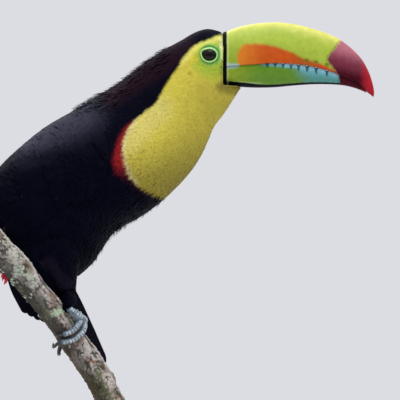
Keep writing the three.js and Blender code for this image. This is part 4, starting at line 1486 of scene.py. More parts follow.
@dataclass
class Wisps:
    """Lax, half-raised feathers where the coat breaks the outline: hindneck, breast and flank."""

    # first and last station, first and last turn, count, length, height of the tips
    patches: tuple[tuple[str, float, float, float, float, int, float, float], ...] = (
        ("nape_wisps", 4.2, 8.4, -0.75, 0.75, 420, 15.0, 2.6),
        ("breast_wisps", 8.4, 12.6, 2.5, 3.8, 240, 13.0, 2.2),
        ("nape_ruff", 7.3, 8.5, -0.6, 0.6, 190, 15.0, 3.3),
        ("breast_tuft", 10.3, 10.9, 2.85, 3.45, 70, 11.0, 3.6),
        ("vent_wisps", 15.4, 17.6, 0.0, 6.28, 260, 14.0, 3.0),
    )

    def build(self, glossy: bpy.types.Material) -> None:
        """Makes the wisps, one piece for each patch."""
        kind = Vane(places=(0.2, 0.45, 0.7, 0.9), widths=(0.8, 1.0, 0.8, 0.45), ridge=0.06, settle=0.9)
        for seed, (title, first, last, low, high, count, length, rise) in enumerate(self.patches, 120):
            rng = np.random.default_rng(seed)
            s = np.sort(rng.uniform(first, last, count))
            a = rng.uniform(low, high, count)
            laid = lay(BODY, replace(kind, lift=rise), s, a, turn=rng.normal(0, 0.22, count),
                       length=length * rng.uniform(0.5, 1.15, count), width=rng.uniform(0.9, 2.2, count),
                       depth=0 * s + 1.5, rng=rng)
            settle(laid.make(title, glossy), "plumage_black")


# ------------------------------------------------------------------ tail


@dataclass
class Tail:
    """Ten broad feathers in steps, longest at the bird's left, and coverts over and under their roots."""

    ends: tuple[float, ...] = (0.6, 0.635, 0.67, 0.695, 0.73, 0.83, 0.93, 0.99, 1.05, 1.08)
    half_width: float = 10.5
    thick: float = 0.7
    stack: float = 0.75  # distance between neighbouring feathers through the blade
    start: float = 0.14  # where they leave the body, as part of the length

    def feather(self, index: int) -> tuple[Array, list[list[int]]]:
        """One tail feather as a closed blade with a raised shaft and a rounded end."""
        place = 1 - 2 * index / (len(self.ends) - 1)  # 1 at the edge towards the bird's right
        t = np.linspace(0, 1, 40) ** 0.9
        share = self.start + (self.ends[index] - self.start) * t
        middle, across, over, half, _ = TAIL.frame_at(share)
        spread = place * (half - self.half_width * 0.96) * smooth(-0.1, 0.4, t)
        spread = spread - 2.2 * smooth(0.42, 0.62, share)
        round_end = np.sqrt(np.clip(1 - ((t - 0.925) / 0.075) ** 2, 0, 1)) ** 0.8
        tip = np.where(t > 0.925, np.maximum(round_end, 0.03), 1)
        width = self.half_width * (0.42 + 0.58 * smooth(0, 0.6, t)) * tip
        level = (abs(place) - 0.5) * self.stack * 9 * (1 - 0.35 * t)
        bow = 1.2 * np.sin(math.pi * t) - 0.9 * place * t
        rng = np.random.default_rng(70 + index)
        wave = 0.35 * np.sin(t * rng.uniform(5, 9) + rng.uniform(0, 6))
        centre = middle + across * spread[:, None] + over * (level + bow + wave)[:, None]
        w = np.array([-1, -0.55, -0.08, 0, 0.08, 0.55, 1, 0.5, -0.5])
        rise = np.array([0, 0.5, 0.7, 1.5, 0.7, 0.5, 0, -0.5, -0.5]) * self.thick
        sag = -0.05 * self.half_width * np.abs(w) ** 2
        ring = (centre[:, None] + across[:, None] * (width[:, None] * w)[..., None]
                + over[:, None] * ((rise + sag) * np.minimum(1, width[:, None] / 3))[..., None])
        return closed_tube(ring)

    def build(self, glossy: bpy.types.Material, coverts: bpy.types.Material) -> None:
        """Makes the tail feathers and their coverts."""
        parts = [self.feather(index) for index in range(len(self.ends))]
        points, faces = join_parts(parts)
        black = np.tile(srgb("0f0e14"), (len(points), 1))
        piece = mesh_object("tail_feathers", points, faces, marking=black)
        piece.data.materials.append(glossy)
        settle(piece, "plumage_black", "tail")
        quarter = math.pi / 2  # turn of the upper side, with the under side opposite
        # name, middle and half of its turn, colour, first and last part of the length, length, lift
        sets = (
            ("undertail_coverts", -quarter, 1.75, MARKINGS.under_red, (0.04, 0.2), 18.0, 1.4),
            ("undertail_fluff", -0.1, 0.9, MARKINGS.under_red, (0.1, 0.28), 18.0, 6.5),
            ("uppertail_coverts", quarter, 1.6, MARKINGS.upper_white, (0.04, 0.26), 19.0, 1.4))
        for title, middle, half_turn, tint, s_range, length, lift in sets:
            kind = Vane(ridge=0.08, settle=1.0, lift=lift)
            turns = (middle - half_turn, middle + half_turn)
            s, a = scatter(TAIL, even(2.5), s_range, turns, 81)
            rng = np.random.default_rng(82)
            laid = lay(TAIL, kind, s, a, turn=rng.normal(0, 0.16, len(s)),
                       length=length * rng.uniform(0.75, 1.1, len(s)), width=rng.uniform(3.8, 5.4, len(s)),
                       depth=0 * s + 2.0, rng=rng,
                       colour=lambda p, tint=tint: np.broadcast_to(srgb(tint), p.shape).copy())
            settle(laid.make(title, coverts), "plumage_black", "tail")


# ------------------------------------------------------------------ bill


@dataclass
class Bill:
    """The great keeled bill: two horny mandibles with a black rim at the base."""

    # ridge x, ridge z, cutting edge x, cutting edge z, half width
    upper: tuple[tuple[float, ...], ...] = (
        (119.6, 384.3, 119.3, 353.6, 16.4), (135.0, 390.0, 134.0, 354.9, 16.2),
        (151.0, 393.0, 149.0, 355.9, 15.6), (169.0, 393.8, 166.0, 356.8, 14.7),
        (187.0, 391.5, 183.5, 356.1, 13.5), (205.0, 386.8, 200.0, 353.9, 12.0),
        (221.5, 380.2, 214.0, 350.3, 10.3), (234.0, 371.6, 225.0, 346.6, 8.6),
        (244.0, 361.4, 235.0, 342.0, 6.8), (250.5, 350.2, 243.0, 336.6, 5.0),
        (254.2, 339.4, 249.0, 331.5, 3.3), (255.7, 331.5, 253.0, 328.3, 1.9),
        (255.4, 327.3, 254.8, 326.8, 0.6),
    )
    # keel x, keel z, cutting edge x, cutting edge z, half width
    lower: tuple[tuple[float, ...], ...] = (
        (119.2, 337.0, 119.3, 353.2, 15.6), (133.0, 335.9, 134.0, 354.5, 15.1),
        (148.5, 335.1, 149.0, 355.5, 14.4), (165.5, 335.4, 166.0, 356.4, 13.4),
        (183.5, 337.0, 183.5, 355.7, 12.1), (200.5, 338.1, 200.0, 353.5, 10.6),
        (215.5, 338.1, 214.0, 349.9, 9.0), (227.5, 337.2, 225.0, 346.2, 7.3),
        (237.5, 335.0, 235.0, 341.6, 5.5), (245.0, 332.2, 243.0, 336.2, 3.5),
        (249.0, 330.2, 248.2, 331.5, 1.4),
    )
    rows: int = 280
    side_points: int = 46
    edge_tuck: float = 0.94  # width at the cutting edge over the widest
    rim_end: float = 123.1  # x where the black rim of the base ends
    # x of the notches of the cutting edge
    teeth: tuple[float, ...] = (159.3, 166.5, 173.7, 180.9, 187.6, 195.3, 203.4, 213.0)
    # Outlines of the colours in the side view.
    orange: tuple[tuple[float, float], ...] = (
        (132.6, 361.0), (133.2, 366.5), (138.0, 373.2), (148.0, 374.3), (158.0, 373.7), (169.2, 371.2),
        (181.8, 366.6), (191.7, 361.4), (201.0, 358.5), (210.0, 355.4), (217.5, 352.0), (228.0, 347.0),
        (228.0, 342.0), (216.0, 345.0),
        (194.4, 350.0), (177.3, 351.5), (156.6, 351.0), (138.0, 351.5), (133.4, 355.5),
    )
    red: tuple[tuple[float, float], ...] = (
        (226.5, 377.5), (221.0, 371.0), (215.6, 364.5), (213.6, 360.5), (215.5, 357.0), (219.0, 352.5),
        (223.4, 345.6), (224.6, 337.0), (230.0, 322.0), (264.0, 318.0), (266.0, 360.0), (244.0, 384.0),
    )
    gape: tuple[tuple[float, float], ...] = (
        (121.0, 356.4), (127.0, 356.8), (134.5, 355.6), (133.0, 353.6), (128.0, 352.2), (121.0, 352.0),
    )

    @staticmethod
    def keel_at(x: Array) -> Array:
        """Height of the lower mandible's keel."""
        rows = np.array(Bill.lower)
        return np.interp(x, rows[:, 0], rows[:, 1])

    def shape(self, rows: tuple[tuple[float, ...], ...], upper: bool) -> tuple[Array, Array]:
        """Rings of one mandible, with the share from its ridge to its edge."""
        table = np.array(rows)
        s = np.linspace(0, len(rows) - 1, self.rows)
        row = blend(table, s)[:, None]
        share = np.linspace(0, 1, self.side_points)
        turn = share * math.pi / 2
        fall = 1 - np.cos(turn) ** 1.15
        x = row[..., 0] + (row[..., 2] - row[..., 0]) * fall
        z = row[..., 1] + (row[..., 3] - row[..., 1]) * fall
        tuck = 1 - (1 - self.edge_tuck) * np.maximum(0, share - 0.6) / 0.4
        y = row[..., 4] * np.sin(turn) ** 0.85 * tuck
        notch = self.notches(x) * smooth(0.9, 1.0, share)
        z = z + (0.55 if upper else -0.45) * notch
        y = y - 0.35 * notch
        if not upper:  # the lower edge shuts just inside the upper one
            z = z + 0.55 * smooth(0.86, 1.0, share)
            y = y * (1 - 0.03 * smooth(0.86, 1.0, share))
        # The base ends in a low rolled rim.
        rim = smooth(self.rim_end + 0.5, self.rim_end - 0.3, x)
        groove = np.exp(-((x - self.rim_end - 0.7) / 0.45) ** 2)
        y = y + (0.8 * rim - 0.3 * groove) * np.minimum(1, y / 3)
        z = z + (0.35 * rim - 0.15 * groove) * (1 - fall) * (1 if upper else -1)
        # Faint growth ripples along the horn.
        spot = np.stack([x, y, z], axis=-1)
        y = y + 0.07 * ripple(spot * np.array([0.45, 1.0, 1.0]), 7.0, 31) * np.minimum(1, y / 3)
        side = np.stack([x, y, z], axis=-1)
        other = side[:, :0:-1] * np.array([1, -1, 1])
        ring = np.concatenate([side, other], axis=1)
        both = np.concatenate([share, share[:0:-1]])
        return ring, np.broadcast_to(both, ring.shape[:2])

    def notches(self, x: Array) -> Array:
        """How deep the cutting edge is notched, deeper towards the tip."""
        return np.exp(-(self.from_tooth(x) / 1.3) ** 2) * np.interp(x, (150, 175, 215, 222), (0.3, 1, 1, 0))

    def from_tooth(self, x: Array) -> Array:
        """Distance along the bill from the nearest notch."""
        return np.abs(x[..., None] - np.array(self.teeth)).min(axis=-1)

    def upper_base(self, ring: Array, share: Array, wander: Array, tomium: Array) -> Array:
        """Colours of the upper mandible behind its tip: lime, a yellow ridge that is partly a painted
        highlight, and an orange stripe.
        """
        x, z = ring[..., 0], ring[..., 2]
        # The pale yellow of the ridge is partly the horn's own yellow and partly a painted highlight.
        ridge = smooth(0.42 + 0.16 * smooth(165, 200, x), 0.1, share + 0.02 * wander)
        deep = smooth(0.55, 0.95, share)
        colour = painted(srgb("a7bb3e") * np.ones_like(ring), ("d9d362", 0.85 * ridge),
                         ("93a832", 0.35 * deep * (1 - ridge)),
                         ("7d9a1e", 0.6 * smooth(0.4, 0.9, share) * smooth(150, 126, x)))
        fire = signed(self.orange, x, z) + 0.35 * wander
        glow = painted(srgb("d4791c") * np.ones_like(ring), ("c2500a", smooth(132, 160, x)),
                       ("9c5210", 0.6 * smooth(178, 192, x) * smooth(206, 196, x)),
                       ("c23410", 0.5 * smooth(200, 210, x)))
        colour = mix(colour, glow, smooth(-1.8, 2.0, fire))
        # Green spots over the notches of the front half.
        above = np.interp(x, (192, 203, 214), (5.8, 5.4, 5.6))
        spot = np.hypot(self.from_tooth(x + 0.6 * wander) / 2.3, (z - tomium - above) / 1.9)
        return painted(colour, ("47601a", 0.75 * smooth(1.25, 0.3, spot) * smooth(188, 192, x)))

    def lower_base(self, ring: Array, share: Array, wander: Array, tomium: Array) -> Array:
        """Colours of the lower mandible behind its tip: green, then blue, with a black keel line that is
        partly painted shadow, and a painted highlight over it.
        """
        x, z = ring[..., 0], ring[..., 2]
        far = smooth(181, 201, x + 1.5 * wander + 0.5 * (z - 345))
        green = painted(srgb("879f14") * np.ones_like(ring), ("5c8a18", smooth(122, 158, x)))
        blue = painted(srgb("4a8f86") * np.ones_like(ring), ("74b4c4", smooth(0.45, 1.0, share)))
        depth = np.interp(x, (148, 165, 185, 200), (0.0, 1.8, 3.4, 6.5))
        strip = smooth(-1.6, 1.2, z + 0.5 * wander - tomium + depth) * smooth(150, 160, x)
        colour = mix(green, blue, np.maximum(far, strip))
        # The black keel line is partly the horn's dark edge and partly painted shadow on the underside; a
        # painted highlight runs just above it.
        low = z - ring[:, :1, 2] + 0.15 * wander
        thick = np.interp(x, (123, 140, 156, 200, 245), (4.8, 4.4, 3.0, 2.2, 1.7))
        line = smooth(thick, thick - 0.6, low)
        pale = np.exp(-((low - 3.9) / 0.7) ** 2) * smooth(160, 145, x)
        under = tomium - z
        scallop = smooth(3.6, 0.6, under) * smooth(165, 180, x)
        # Dark wedges hang from the notches.
        reach = np.interp(x, (155, 175, 190), (2.6, 4.0, 5.6))
        wedge = 2.0 * np.clip(1 - under / reach, 0.0, 1.0) ** 0.7
        aside = self.from_tooth(x + 0.35 * wander)
        teeth = 0.9 * smooth(wedge + 0.3, 0.5 * wedge, aside) * (under < reach)
        return painted(colour, ("c4dca0", 0.5 * pale), ("06070f", line), ("a4d2dc", 0.6 * scallop),
                       ("173c48", teeth * smooth(224, 218, x)))

    def colours(self, ring: Array, share: Array, upper: bool) -> Array:
        """Linear colours of a mandible."""
        x, z = ring[..., 0], ring[..., 2]
        wander = 0.7 * ripple(ring, 6.0, 32) + 0.35 * ripple(ring, 2.2, 33)
        edge = np.array(self.lower)
        tomium = np.interp(x, edge[:, 2], edge[:, 3])
        base = self.upper_base if upper else self.lower_base
        colour = base(ring, share, wander, tomium)
        tip = signed(self.red, x, z) + 0.8 * wander
        # The tip grades from rose at its upper corner, a painted highlight, to almost black over the lower
        # edge.
        grade = z + 0.25 * (x - 230) + 0.8 * wander
        maroon = painted(srgb("450c1a") * np.ones_like(ring), ("732a3c", smooth(345, 357, grade)),
                         ("b06472", smooth(356, 371, grade)), ("b3202c", smooth(241, 251, x) * 0.85))
        colour = mix(colour, maroon, smooth(-0.6, 0.9, tip))
        colour = painted(colour, ("3a1418", 0.5 * np.exp(-((tip + 0.9) / 0.6) ** 2)))
        if upper:
            colour = painted(colour, ("16060c", 0.85 * smooth(0.9, 0.97, share) * smooth(232, 240, x)))
        corner = signed(self.gape, x, z)
        # A painted highlight runs just in front of the black rim, and painted shade along the cutting edge.
        pale = np.exp(-((x - self.rim_end - 1.0) / 0.6) ** 2)
        rim = smooth(self.rim_end + 0.25, self.rim_end - 0.25, x + 0.15 * wander)
        return painted(colour, ("a3bcc4", 0.85 * smooth(-1, 1, corner + 0.3 * wander)),
                       ("d3e0a0", 0.55 * pale), ("2d3a1c", 0.35 * smooth(0.985, 1.0, share)), ("08080a", rim))

    def horn(self) -> bpy.types.Material:
        """Keratin sheath of the bill: polished by wear, slightly deep, with fine lengthwise lines."""
        made = Finish("keratin_horn").set(IOR=1.54, Specular_IOR_Level=0.22, Subsurface_Weight=0.06,
                                          Subsurface_Scale=1.2 * MM, Coat_Weight=0.05, Coat_Roughness=0.25)
        place = made.object_place()
        marking = made.attribute("marking").outputs["Color"]
        # Mottling a few millimetres wide, as the horn's layers show through.
        mottle = made.ramp(made.noise(place, 5.0, 4.0), 0.3, 0.7, 0.9, 1.08)
        made.link("Base Color", made.node("ShaderNodeVectorMath", {}, {0: marking, 1: mottle},
                                          operation="MULTIPLY").outputs[0])
        light = made.node("ShaderNodeSeparateColor", {}, {0: marking}).outputs[1]
        worn = made.ramp(made.noise(place, 3.0), 0.3, 0.7, 0.27, 0.42)
        matt = made.ramp(light, 0.003, 0.02, 0.85, 0.0)  # the black edges stay unpolished
        rougher = made.node("ShaderNodeMath", {}, {0: worn, 1: matt}, operation="MAXIMUM")
        made.link("Roughness", rougher.outputs[0])
        made.link("Specular Tint", made.blend(made.ramp(light, 0.004, 0.03), rgba("2c3050"), rgba("ffffff")))
        # Growth lines and scratches run along the bill, about 0.6 mm apart.
        lines = made.noise(place, 0.6, 2.0, stretch=(0.06, 1.0, 1.0))
        made.bump(lines, 0.05, 0.5)
        made.bump(made.noise(place, 2.5), 0.08, 0.4)
        return made.material

    def build(self) -> None:
        """Makes both mandibles and dresses them."""
        horn = self.horn()
        for name, rows, upper in (("bill_upper", self.upper, True), ("bill_lower", self.lower, False)):
            ring, share = self.shape(rows, upper)
            points, faces = closed_tube(ring)
            colours = self.colours(ring, share, upper).reshape(-1, 3)
            ends = np.stack([colours[: ring.shape[1]].mean(0), colours[-ring.shape[1]:].mean(0)])
            piece = mesh_object(f"horn_{name}", points, faces, marking=np.concatenate([colours, ends]))
            piece.data.materials.append(horn)
            settle(piece, "bill_horn_green" if upper else "bill_horn_blue", name)


@dataclass
class Bristles:
    """Short dark bristles at the corner of the bill and in front of each eye."""

    count: int = 34
    length: float = 3.2
    thick: float = 0.22

    def build(self) -> None:
        """Makes the bristles of both sides."""
        rng = np.random.default_rng(91)
        z = rng.uniform(344.0, 362.0, self.count)
        x = rng.uniform(115.5, 119.2, self.count)
        half = BODY.half_at(x, z)
        stamp_points, stamp_faces = closed_tube(sweep(
            np.stack([np.zeros(5), np.zeros(5), np.linspace(0, 1, 5)], axis=-1) / MM,
            np.array([1.0, 0.8, 0.55, 0.3, 0.06]) * self.thick / self.length / 2 / MM, 5))
        hair = Finish("bristle_keratin").set(Roughness=0.4)
        shade = hair.noise(hair.object_place(), 1.0)
        hair.link("Base Color", hair.blend(shade, rgba("14120f"), rgba("2a241c")))
        for side in Side:
            forward = rng.uniform(0.2, 0.8, self.count)
            aside = side.value * rng.uniform(0.35, 0.8, self.count)
            out = np.stack([forward, aside, rng.uniform(-0.7, 0.1, self.count)], axis=-1)
            points = np.stack([x, side.value * (half - 0.3), z], axis=-1)
            way = unit(np.cross(out, np.array([0.0, 0.0, 1.0])))
            stamp = mesh_object(f"bristle_{side.word}", stamp_points, stamp_faces)
            sizes = self.length * MM * rng.uniform(0.6, 1.1, self.count)
            piece = stamped(f"bristles_{side.word}", points, unit(out), way, sizes, stamp, hair.material)
            settle(piece, "plumage_black")


# ------------------------------------------------------------------ eyes


@dataclass
class Eye:
    """Eyeball with a dark iris under a wet cornea."""

    side: Side
    pupil: float = 3.0  # radius seen through the cornea
    iris: float = 5.6

    def material(self) -> bpy.types.Material:
        """Wet eye: brown iris fibres and a black pupil under a smooth clear coat."""
        made = Finish(f"wet_eye_{self.side.word}").set(Roughness=0.3, IOR=1.38, Specular_IOR_Level=0.15,
                                                       Coat_Weight=0.5, Coat_Roughness=0.03, Coat_IOR=1.34)
        place = made.object_place()
        centre = (SOCKET.x * MM, self.side.value * SOCKET.y * MM, SOCKET.z * MM)
        vector = "ShaderNodeVectorMath"
        local = made.node(vector, {1: centre}, {0: place}, operation="SUBTRACT").outputs[0]
        flat = made.node(vector, {1: (1.0, 0.0, 1.0)}, {0: local}, operation="MULTIPLY").outputs[0]
        reach = made.node(vector, {}, {0: flat}, operation="LENGTH").outputs["Value"]
        direction = made.node(vector, {}, {0: flat}, operation="NORMALIZE").outputs[0]
        fibres = made.noise(direction, 110.0, 3.0)
        brown = made.blend(fibres, rgba("0c0805"), rgba("1f130a"))
        ring = made.ramp(reach, (self.iris - 0.9) * MM, self.iris * MM)
        brown = made.blend(ring, brown, rgba("050404"))
        hole = made.ramp(reach, (self.pupil - 0.15) * MM, (self.pupil + 0.15) * MM)
        made.link("Base Color", made.blend(hole, rgba("020202"), brown))
        return made.material

    def build(self) -> None:
        """Makes the ball with its cornea slightly domed."""
        turns = full_turn(64)
        tilt = np.linspace(0.02, math.pi - 0.02, 48)
        dome = 1 + 0.035 * np.exp(-((math.pi - tilt) / 0.75) ** 4)
        radius = SOCKET.ball * dome
        x = SOCKET.x + (radius * np.sin(tilt))[:, None] * np.cos(turns)
        z = SOCKET.z + (radius * np.sin(tilt))[:, None] * np.sin(turns)
        y = self.side.value * (SOCKET.y - radius * np.cos(tilt))[:, None] + 0 * x
        points, faces = closed_tube(np.stack([x, y, z], axis=-1))
        piece = mesh_object(f"eyeball_{self.side.word}", points, faces)
        piece.data.materials.append(self.material())
        settle(piece, "eye_cornea", f"eye_{self.side.word}")


# ------------------------------------------------------------------ perch


@dataclass(frozen=True)
class PerchForm(Form):
    """The branch; s runs down it in millimetres from the right foot's grip, a turns round it.

    a is 0 on the open upper side and grows over the far side.
    """

    axis: tuple[tuple[float, float, float], ...] = (
        (-108.0, -61.6, 221.4), (-64.8, -40.0, 172.8), (-22.8, -19.0, 119.3), (10.8, -2.2, 68.4),
        (26.1, 5.5, 37.8))
    radius: float = 12.2
    grip: tuple[float, float, float] = (-22.8, -19.0, 119.3)
    table: dict[str, Array] = field(default_factory=dict, compare=False, hash=False)

    def __post_init__(self) -> None:
        """Measures the axis: a smooth curve through its points, known by its length."""
        rows = [np.array(point) for point in self.axis]
        rows = [2 * rows[0] - rows[1], *rows, 2 * rows[-1] - rows[-2]]
        t = np.linspace(0, 1, 120)[:, None]
        pieces = []
        for p0, p1, p2, p3 in zip(rows, rows[1:], rows[2:], rows[3:]):
            d0, d1, d2 = (math.sqrt(np.linalg.norm(q - p)) for p, q in ((p0, p1), (p1, p2), (p2, p3)))
            m1 = d1 * ((p1 - p0) / d0 - (p2 - p0) / (d0 + d1) + (p2 - p1) / d1)
            m2 = d1 * ((p2 - p1) / d1 - (p3 - p1) / (d1 + d2) + (p3 - p2) / d2)
            cube = 2 * p1 - 2 * p2 + m1 + m2
            square = -3 * p1 + 3 * p2 - 2 * m1 - m2
            pieces.append(p1 + m1 * t + square * t**2 + cube * t**3)
        line = np.concatenate(pieces)
        steps = np.linalg.norm(np.diff(line, axis=0), axis=1)
        place = np.concatenate([[0], np.cumsum(steps)])
        place -= place[np.argmin(np.linalg.norm(line - np.array(self.grip), axis=1))]
        self.table.update(line=line, place=place, way=unit(np.gradient(line, axis=0)))

    @property
    def ends(self) -> tuple[float, float]:
        """Places of the upper and of the lower end."""
        return float(self.table["place"][0]), float(self.table["place"][-1])

    def look_up(self, key: str, s: Array) -> Array:
        """A row of the measured axis at places along it."""
        return np.stack([np.interp(s, self.table["place"], self.table[key][:, k]) for k in range(3)], axis=-1)

    def around(self, s: Array, a: Array, radius: Array) -> Array:
        """Places by distance along, angle and distance from the axis."""
        way = self.look_up("way", s)
        open_side = unit(np.stack([-way[..., 2], 0 * way[..., 0], way[..., 0]], axis=-1))
        far_side = np.cross(open_side, way)
        out = open_side * np.cos(a)[..., None] + far_side * np.sin(a)[..., None]
        return self.look_up("line", s) + out * np.asarray(radius)[..., None]

    def bark_radius(self, s: Array, a: Array) -> Array:
        """The bark's swells, as the solid has them."""
        waves = 0.03 * np.sin(2 * a + 0.06 * s) + 0.025 * np.sin(3 * a - 0.11 * s)
        return self.radius * (1 + waves) - 0.45

    def point(self, s: Array, a: Array) -> Array:
        """Places on the bark without its fine relief."""
        return self.around(s, a, self.bark_radius(s, a))


PERCH = PerchForm()


@dataclass
class Perch:
    """The cut branch: cracked bark, a knot, a snapped side twig, sawn ends and lichen."""

    rings: int = 420
    sides: int = 150
    cut_rings: int = 15  # rings of a sawn face
    lichen_trials: int = 5200  # places tried for a leaf, of which the colonies keep some
    relief: float = 1.0  # depth of the bark's furrows
    knot: tuple[float, float, float] = (62.0, 0.35, 2.6)  # place along, angle, height
    snag: tuple[float, float, float] = (78.0, 3.3, 3.0)  # stump of a side twig
    # Lichen, algae, browner bark and painted shade: ends of each patch in the side view, its reach, its
    # colour, least share of specks.
    growth: dict[str, tuple] = field(default_factory=lambda: {
        # Painted shade along the lower left edge of the branch's upper part.
        "damp_top": ((-86.0, 174.0), (-48.0, 136.0), 9.0, "3c3d34", -3.0),
        "lichen_top": ((-80.0, 186.0), (-60.0, 160.0), 13.0, "a5af98", 0.4),
        "brown_bark": ((-28.0, 148.0), (-14.0, 118.0), 10.0, "86705f", -0.3),
        # Painted shade where a knot hole shows, though the bark has no hole there.
        "hollow": ((-33.0, 126.0), (-24.0, 113.0), 7.0, "3d352e", -3.0),
        "crescent": ((-37.0, 130.0), (-22.5, 135.5), 3.0, "b4c8a8", -3.0),
        "algae_foot": ((4.0, 74.0), (20.0, 50.0), 11.0, "757d5c", -0.5),
        "algae_grip": ((-44.0, 142.0), (-34.0, 126.0), 6.0, "7f8672", 0.0),
    })

    def bumps(self, s: Array, a: Array) -> Array:
        """Height of the bark's relief over the form."""
        spot = PERCH.point(s, a)
        way = PERCH.look_up("way", s)
        along = (spot * way).sum(-1, keepdims=True)
        stretched = spot - 0.5 * along * way
        lumps = ripple(spot, 15.0, 100)
        coarse = ripple(stretched, 7.0, 101)
        fine = ripple(stretched, 2.6, 102)
        grit = ripple(spot, 1.4, 103)
        furrows = -np.exp(-(ripple(stretched, 6.5, 104) / 0.16) ** 2)
        height = self.relief * (0.45 * lumps + 0.4 * coarse + 0.3 * fine + 0.2 * grit + 0.9 * furrows + 0.15)
        for place, angle, rise in (self.knot, self.snag):
            turn = (a - angle + math.pi) % (2 * math.pi) - math.pi
            reach = np.hypot((s - place) / 6.5, turn * PERCH.radius / 6.0)
            height = height + rise * np.exp(-reach**2 * 1.6) - 0.9 * np.exp(-((reach - 0.15) / 0.22) ** 2)
        return height

    def colours(self, s: Array, a: Array, height: Array) -> Array:
        """Grey-brown bark, darker in furrows, with painted shade on its under side and in two patches, and
        lichen and orange algae in patches.
        """
        spot = PERCH.point(s, a)
        x, z = spot[..., 0], spot[..., 2]
        worn = smooth(-0.2, 1.2, ripple(spot, 17.0, 105))
        base = painted(srgb("c2bab2") * np.ones_like(spot), ("857868", worn),
                       ("3f3a34", smooth(0.15, -0.6, height / self.relief) * 0.9))
        specks = ripple(spot, 7.0, 106) + 0.5 * ripple(spot, 2.6, 107)
        for start, end, reach, tint, least in self.growth.values():
            inside = smooth(reach, 0.6 * reach, near_line(start, end, x, z) + 1.5 * ripple(spot, 4.0, 116))
            base = painted(base, (tint, 0.85 * inside * smooth(least, least + 0.4, specks)))
        crust = smooth(1.0, 1.4, ripple(spot, 8.0, 108) + 0.3 * ripple(spot, 2.5, 109))
        rust = smooth(0.85, 1.2, ripple(spot, 9.0, 110) + 0.2 * ripple(spot, 2.0, 111)) * smooth(0, 20, s)
        # Painted shade on the branch's under side.
        under = smooth(0.25, -0.5, np.cos(a) + 0.18 * ripple(spot, 9.0, 115))
        return painted(base, ("cfcfc6", 0.8 * crust), ("8f5a34", 0.7 * rust), ("3b3932", 0.74 * under))

    def bark(self) -> bpy.types.Material:
        """Dead weathered bark: dry, rough, scaly at a millimetre or two."""
        made = Finish("weathered_bark").set(Specular_IOR_Level=0.2)
        place = made.object_place()
        marking = made.attribute("marking").outputs["Color"]
        speckle = made.ramp(made.noise(place, 1.6, 5.0, 0.7), 0.3, 0.7, 0.72, 1.25)
        made.link("Base Color", made.node("ShaderNodeVectorMath", {}, {0: marking, 1: speckle},
                                          operation="MULTIPLY").outputs[0])
        made.link("Roughness", made.ramp(made.noise(place, 2.0), 0.3, 0.7, 0.8, 0.97))
        scales = made.node("ShaderNodeTexVoronoi", {"Scale": 1 / (2.2 * MM)}, {"Vector": place},
                           feature="DISTANCE_TO_EDGE")
        made.bump(scales.outputs["Distance"], 0.4, 0.6)
        made.bump(made.noise(place, 0.7, 4.0, 0.7), 0.25, 0.8)
        return made.material

    def lichen(self) -> bpy.types.Object:
        """Little leaves of lichen, strewn in colonies by their own seed."""
        rng = np.random.default_rng(112)
        first, last = PERCH.ends
        s = rng.uniform(first + 4, last - 4, self.lichen_trials)
        a = rng.uniform(0, 2 * math.pi, self.lichen_trials)
        spot = PERCH.point(s, a)
        colony = ripple(spot, 15.0, 113) + 0.35 * ripple(spot, 4.0, 114)
        near = near_line((-80.0, 186.0), (-60.0, 160.0), spot[:, 0], spot[:, 2]) < 15
        keep = colony > np.where(near, 0.5, 1.25)
        s, a = s[keep], a[keep]
        here, along, _, normal = PERCH.axes(s, a)
        here = here + normal * (self.bumps(s, a) + 0.05)[:, None]
        tilt = unit(normal + 0.45 * rng.normal(size=normal.shape))
        turns = full_turn(9)
        lobes = 1 + 0.25 * np.cos(3 * turns)
        cup = ((0.55, 0.05), (1.0, 0.28), (1.0, 0.16), (0.55, -0.06))  # radius and height of its rings
        rings = np.array([[[r * k * math.cos(t), r * k * math.sin(t), z] for t, k in zip(turns, lobes)]
                          for r, z in cup])
        points, faces = closed_tube(rings)
        stamp = mesh_object("lichen_leaf", points, faces)
        thallus = Finish("lichen_thallus").set(Roughness=0.95, Specular_IOR_Level=0.15)
        shade = thallus.ramp(thallus.noise(thallus.object_place(), 2.5, 3.0), 0.35, 0.65)
        thallus.link("Base Color", thallus.blend(shade, rgba("8f9f86"), rgba("c9cfc2")))
        thallus.bump(thallus.noise(thallus.object_place(), 0.5), 0.1, 0.6)
        sizes = rng.uniform(0.7, 1.7, len(s))
        piece = stamped("lichen", here, tilt, unit(along), sizes, stamp, thallus.material)
        return settle(piece, "bark")

    def build(self) -> None:
        """Makes the branch and its lichen."""
        first, last = PERCH.ends
        s, a = np.meshgrid(np.linspace(first, last, self.rings), full_turn(self.sides), indexing="ij")
        height = self.bumps(s, a)
        toes = np.exp(-((s - 4) / 16) ** 2) + np.exp(-((s + 45) / 18) ** 2)
        height = height * (1 - 0.55 * np.minimum(1, toes)) - 0.25 * np.minimum(1, toes)
        radius = PERCH.bark_radius(s, a) + height
        body = PERCH.around(s, a, radius)
        ends = []
        for edge in (0, -1):  # the sawn faces, slightly dished rings towards the pith
            share = np.linspace(1, 0.04, self.cut_rings + 1)[1:, None]
            ends.append(PERCH.around(s[edge] + 0 * share, a[edge] + 0 * share, radius[edge] * share))
        rings = np.concatenate([ends[0][::-1], body, ends[1]])
        points, faces = closed_tube(rings)
        wood = np.tile(srgb("b79f7c"), (self.cut_rings * self.sides, 1))
        growth = np.repeat(np.linspace(1, 0, self.cut_rings), self.sides) * 60
        wood = wood * (1 + 0.16 * np.sin(growth))[:, None]
        tint = np.concatenate([wood[::-1], self.colours(s, a, height).reshape(-1, 3), wood, wood[:2]])
        piece = mesh_object("branch", points, faces, marking=tint)
        piece.data.materials.append(self.bark())
        settle(piece, "bark", "perch_branch")
        self.lichen()


# ------------------------------------------------------------------ feet


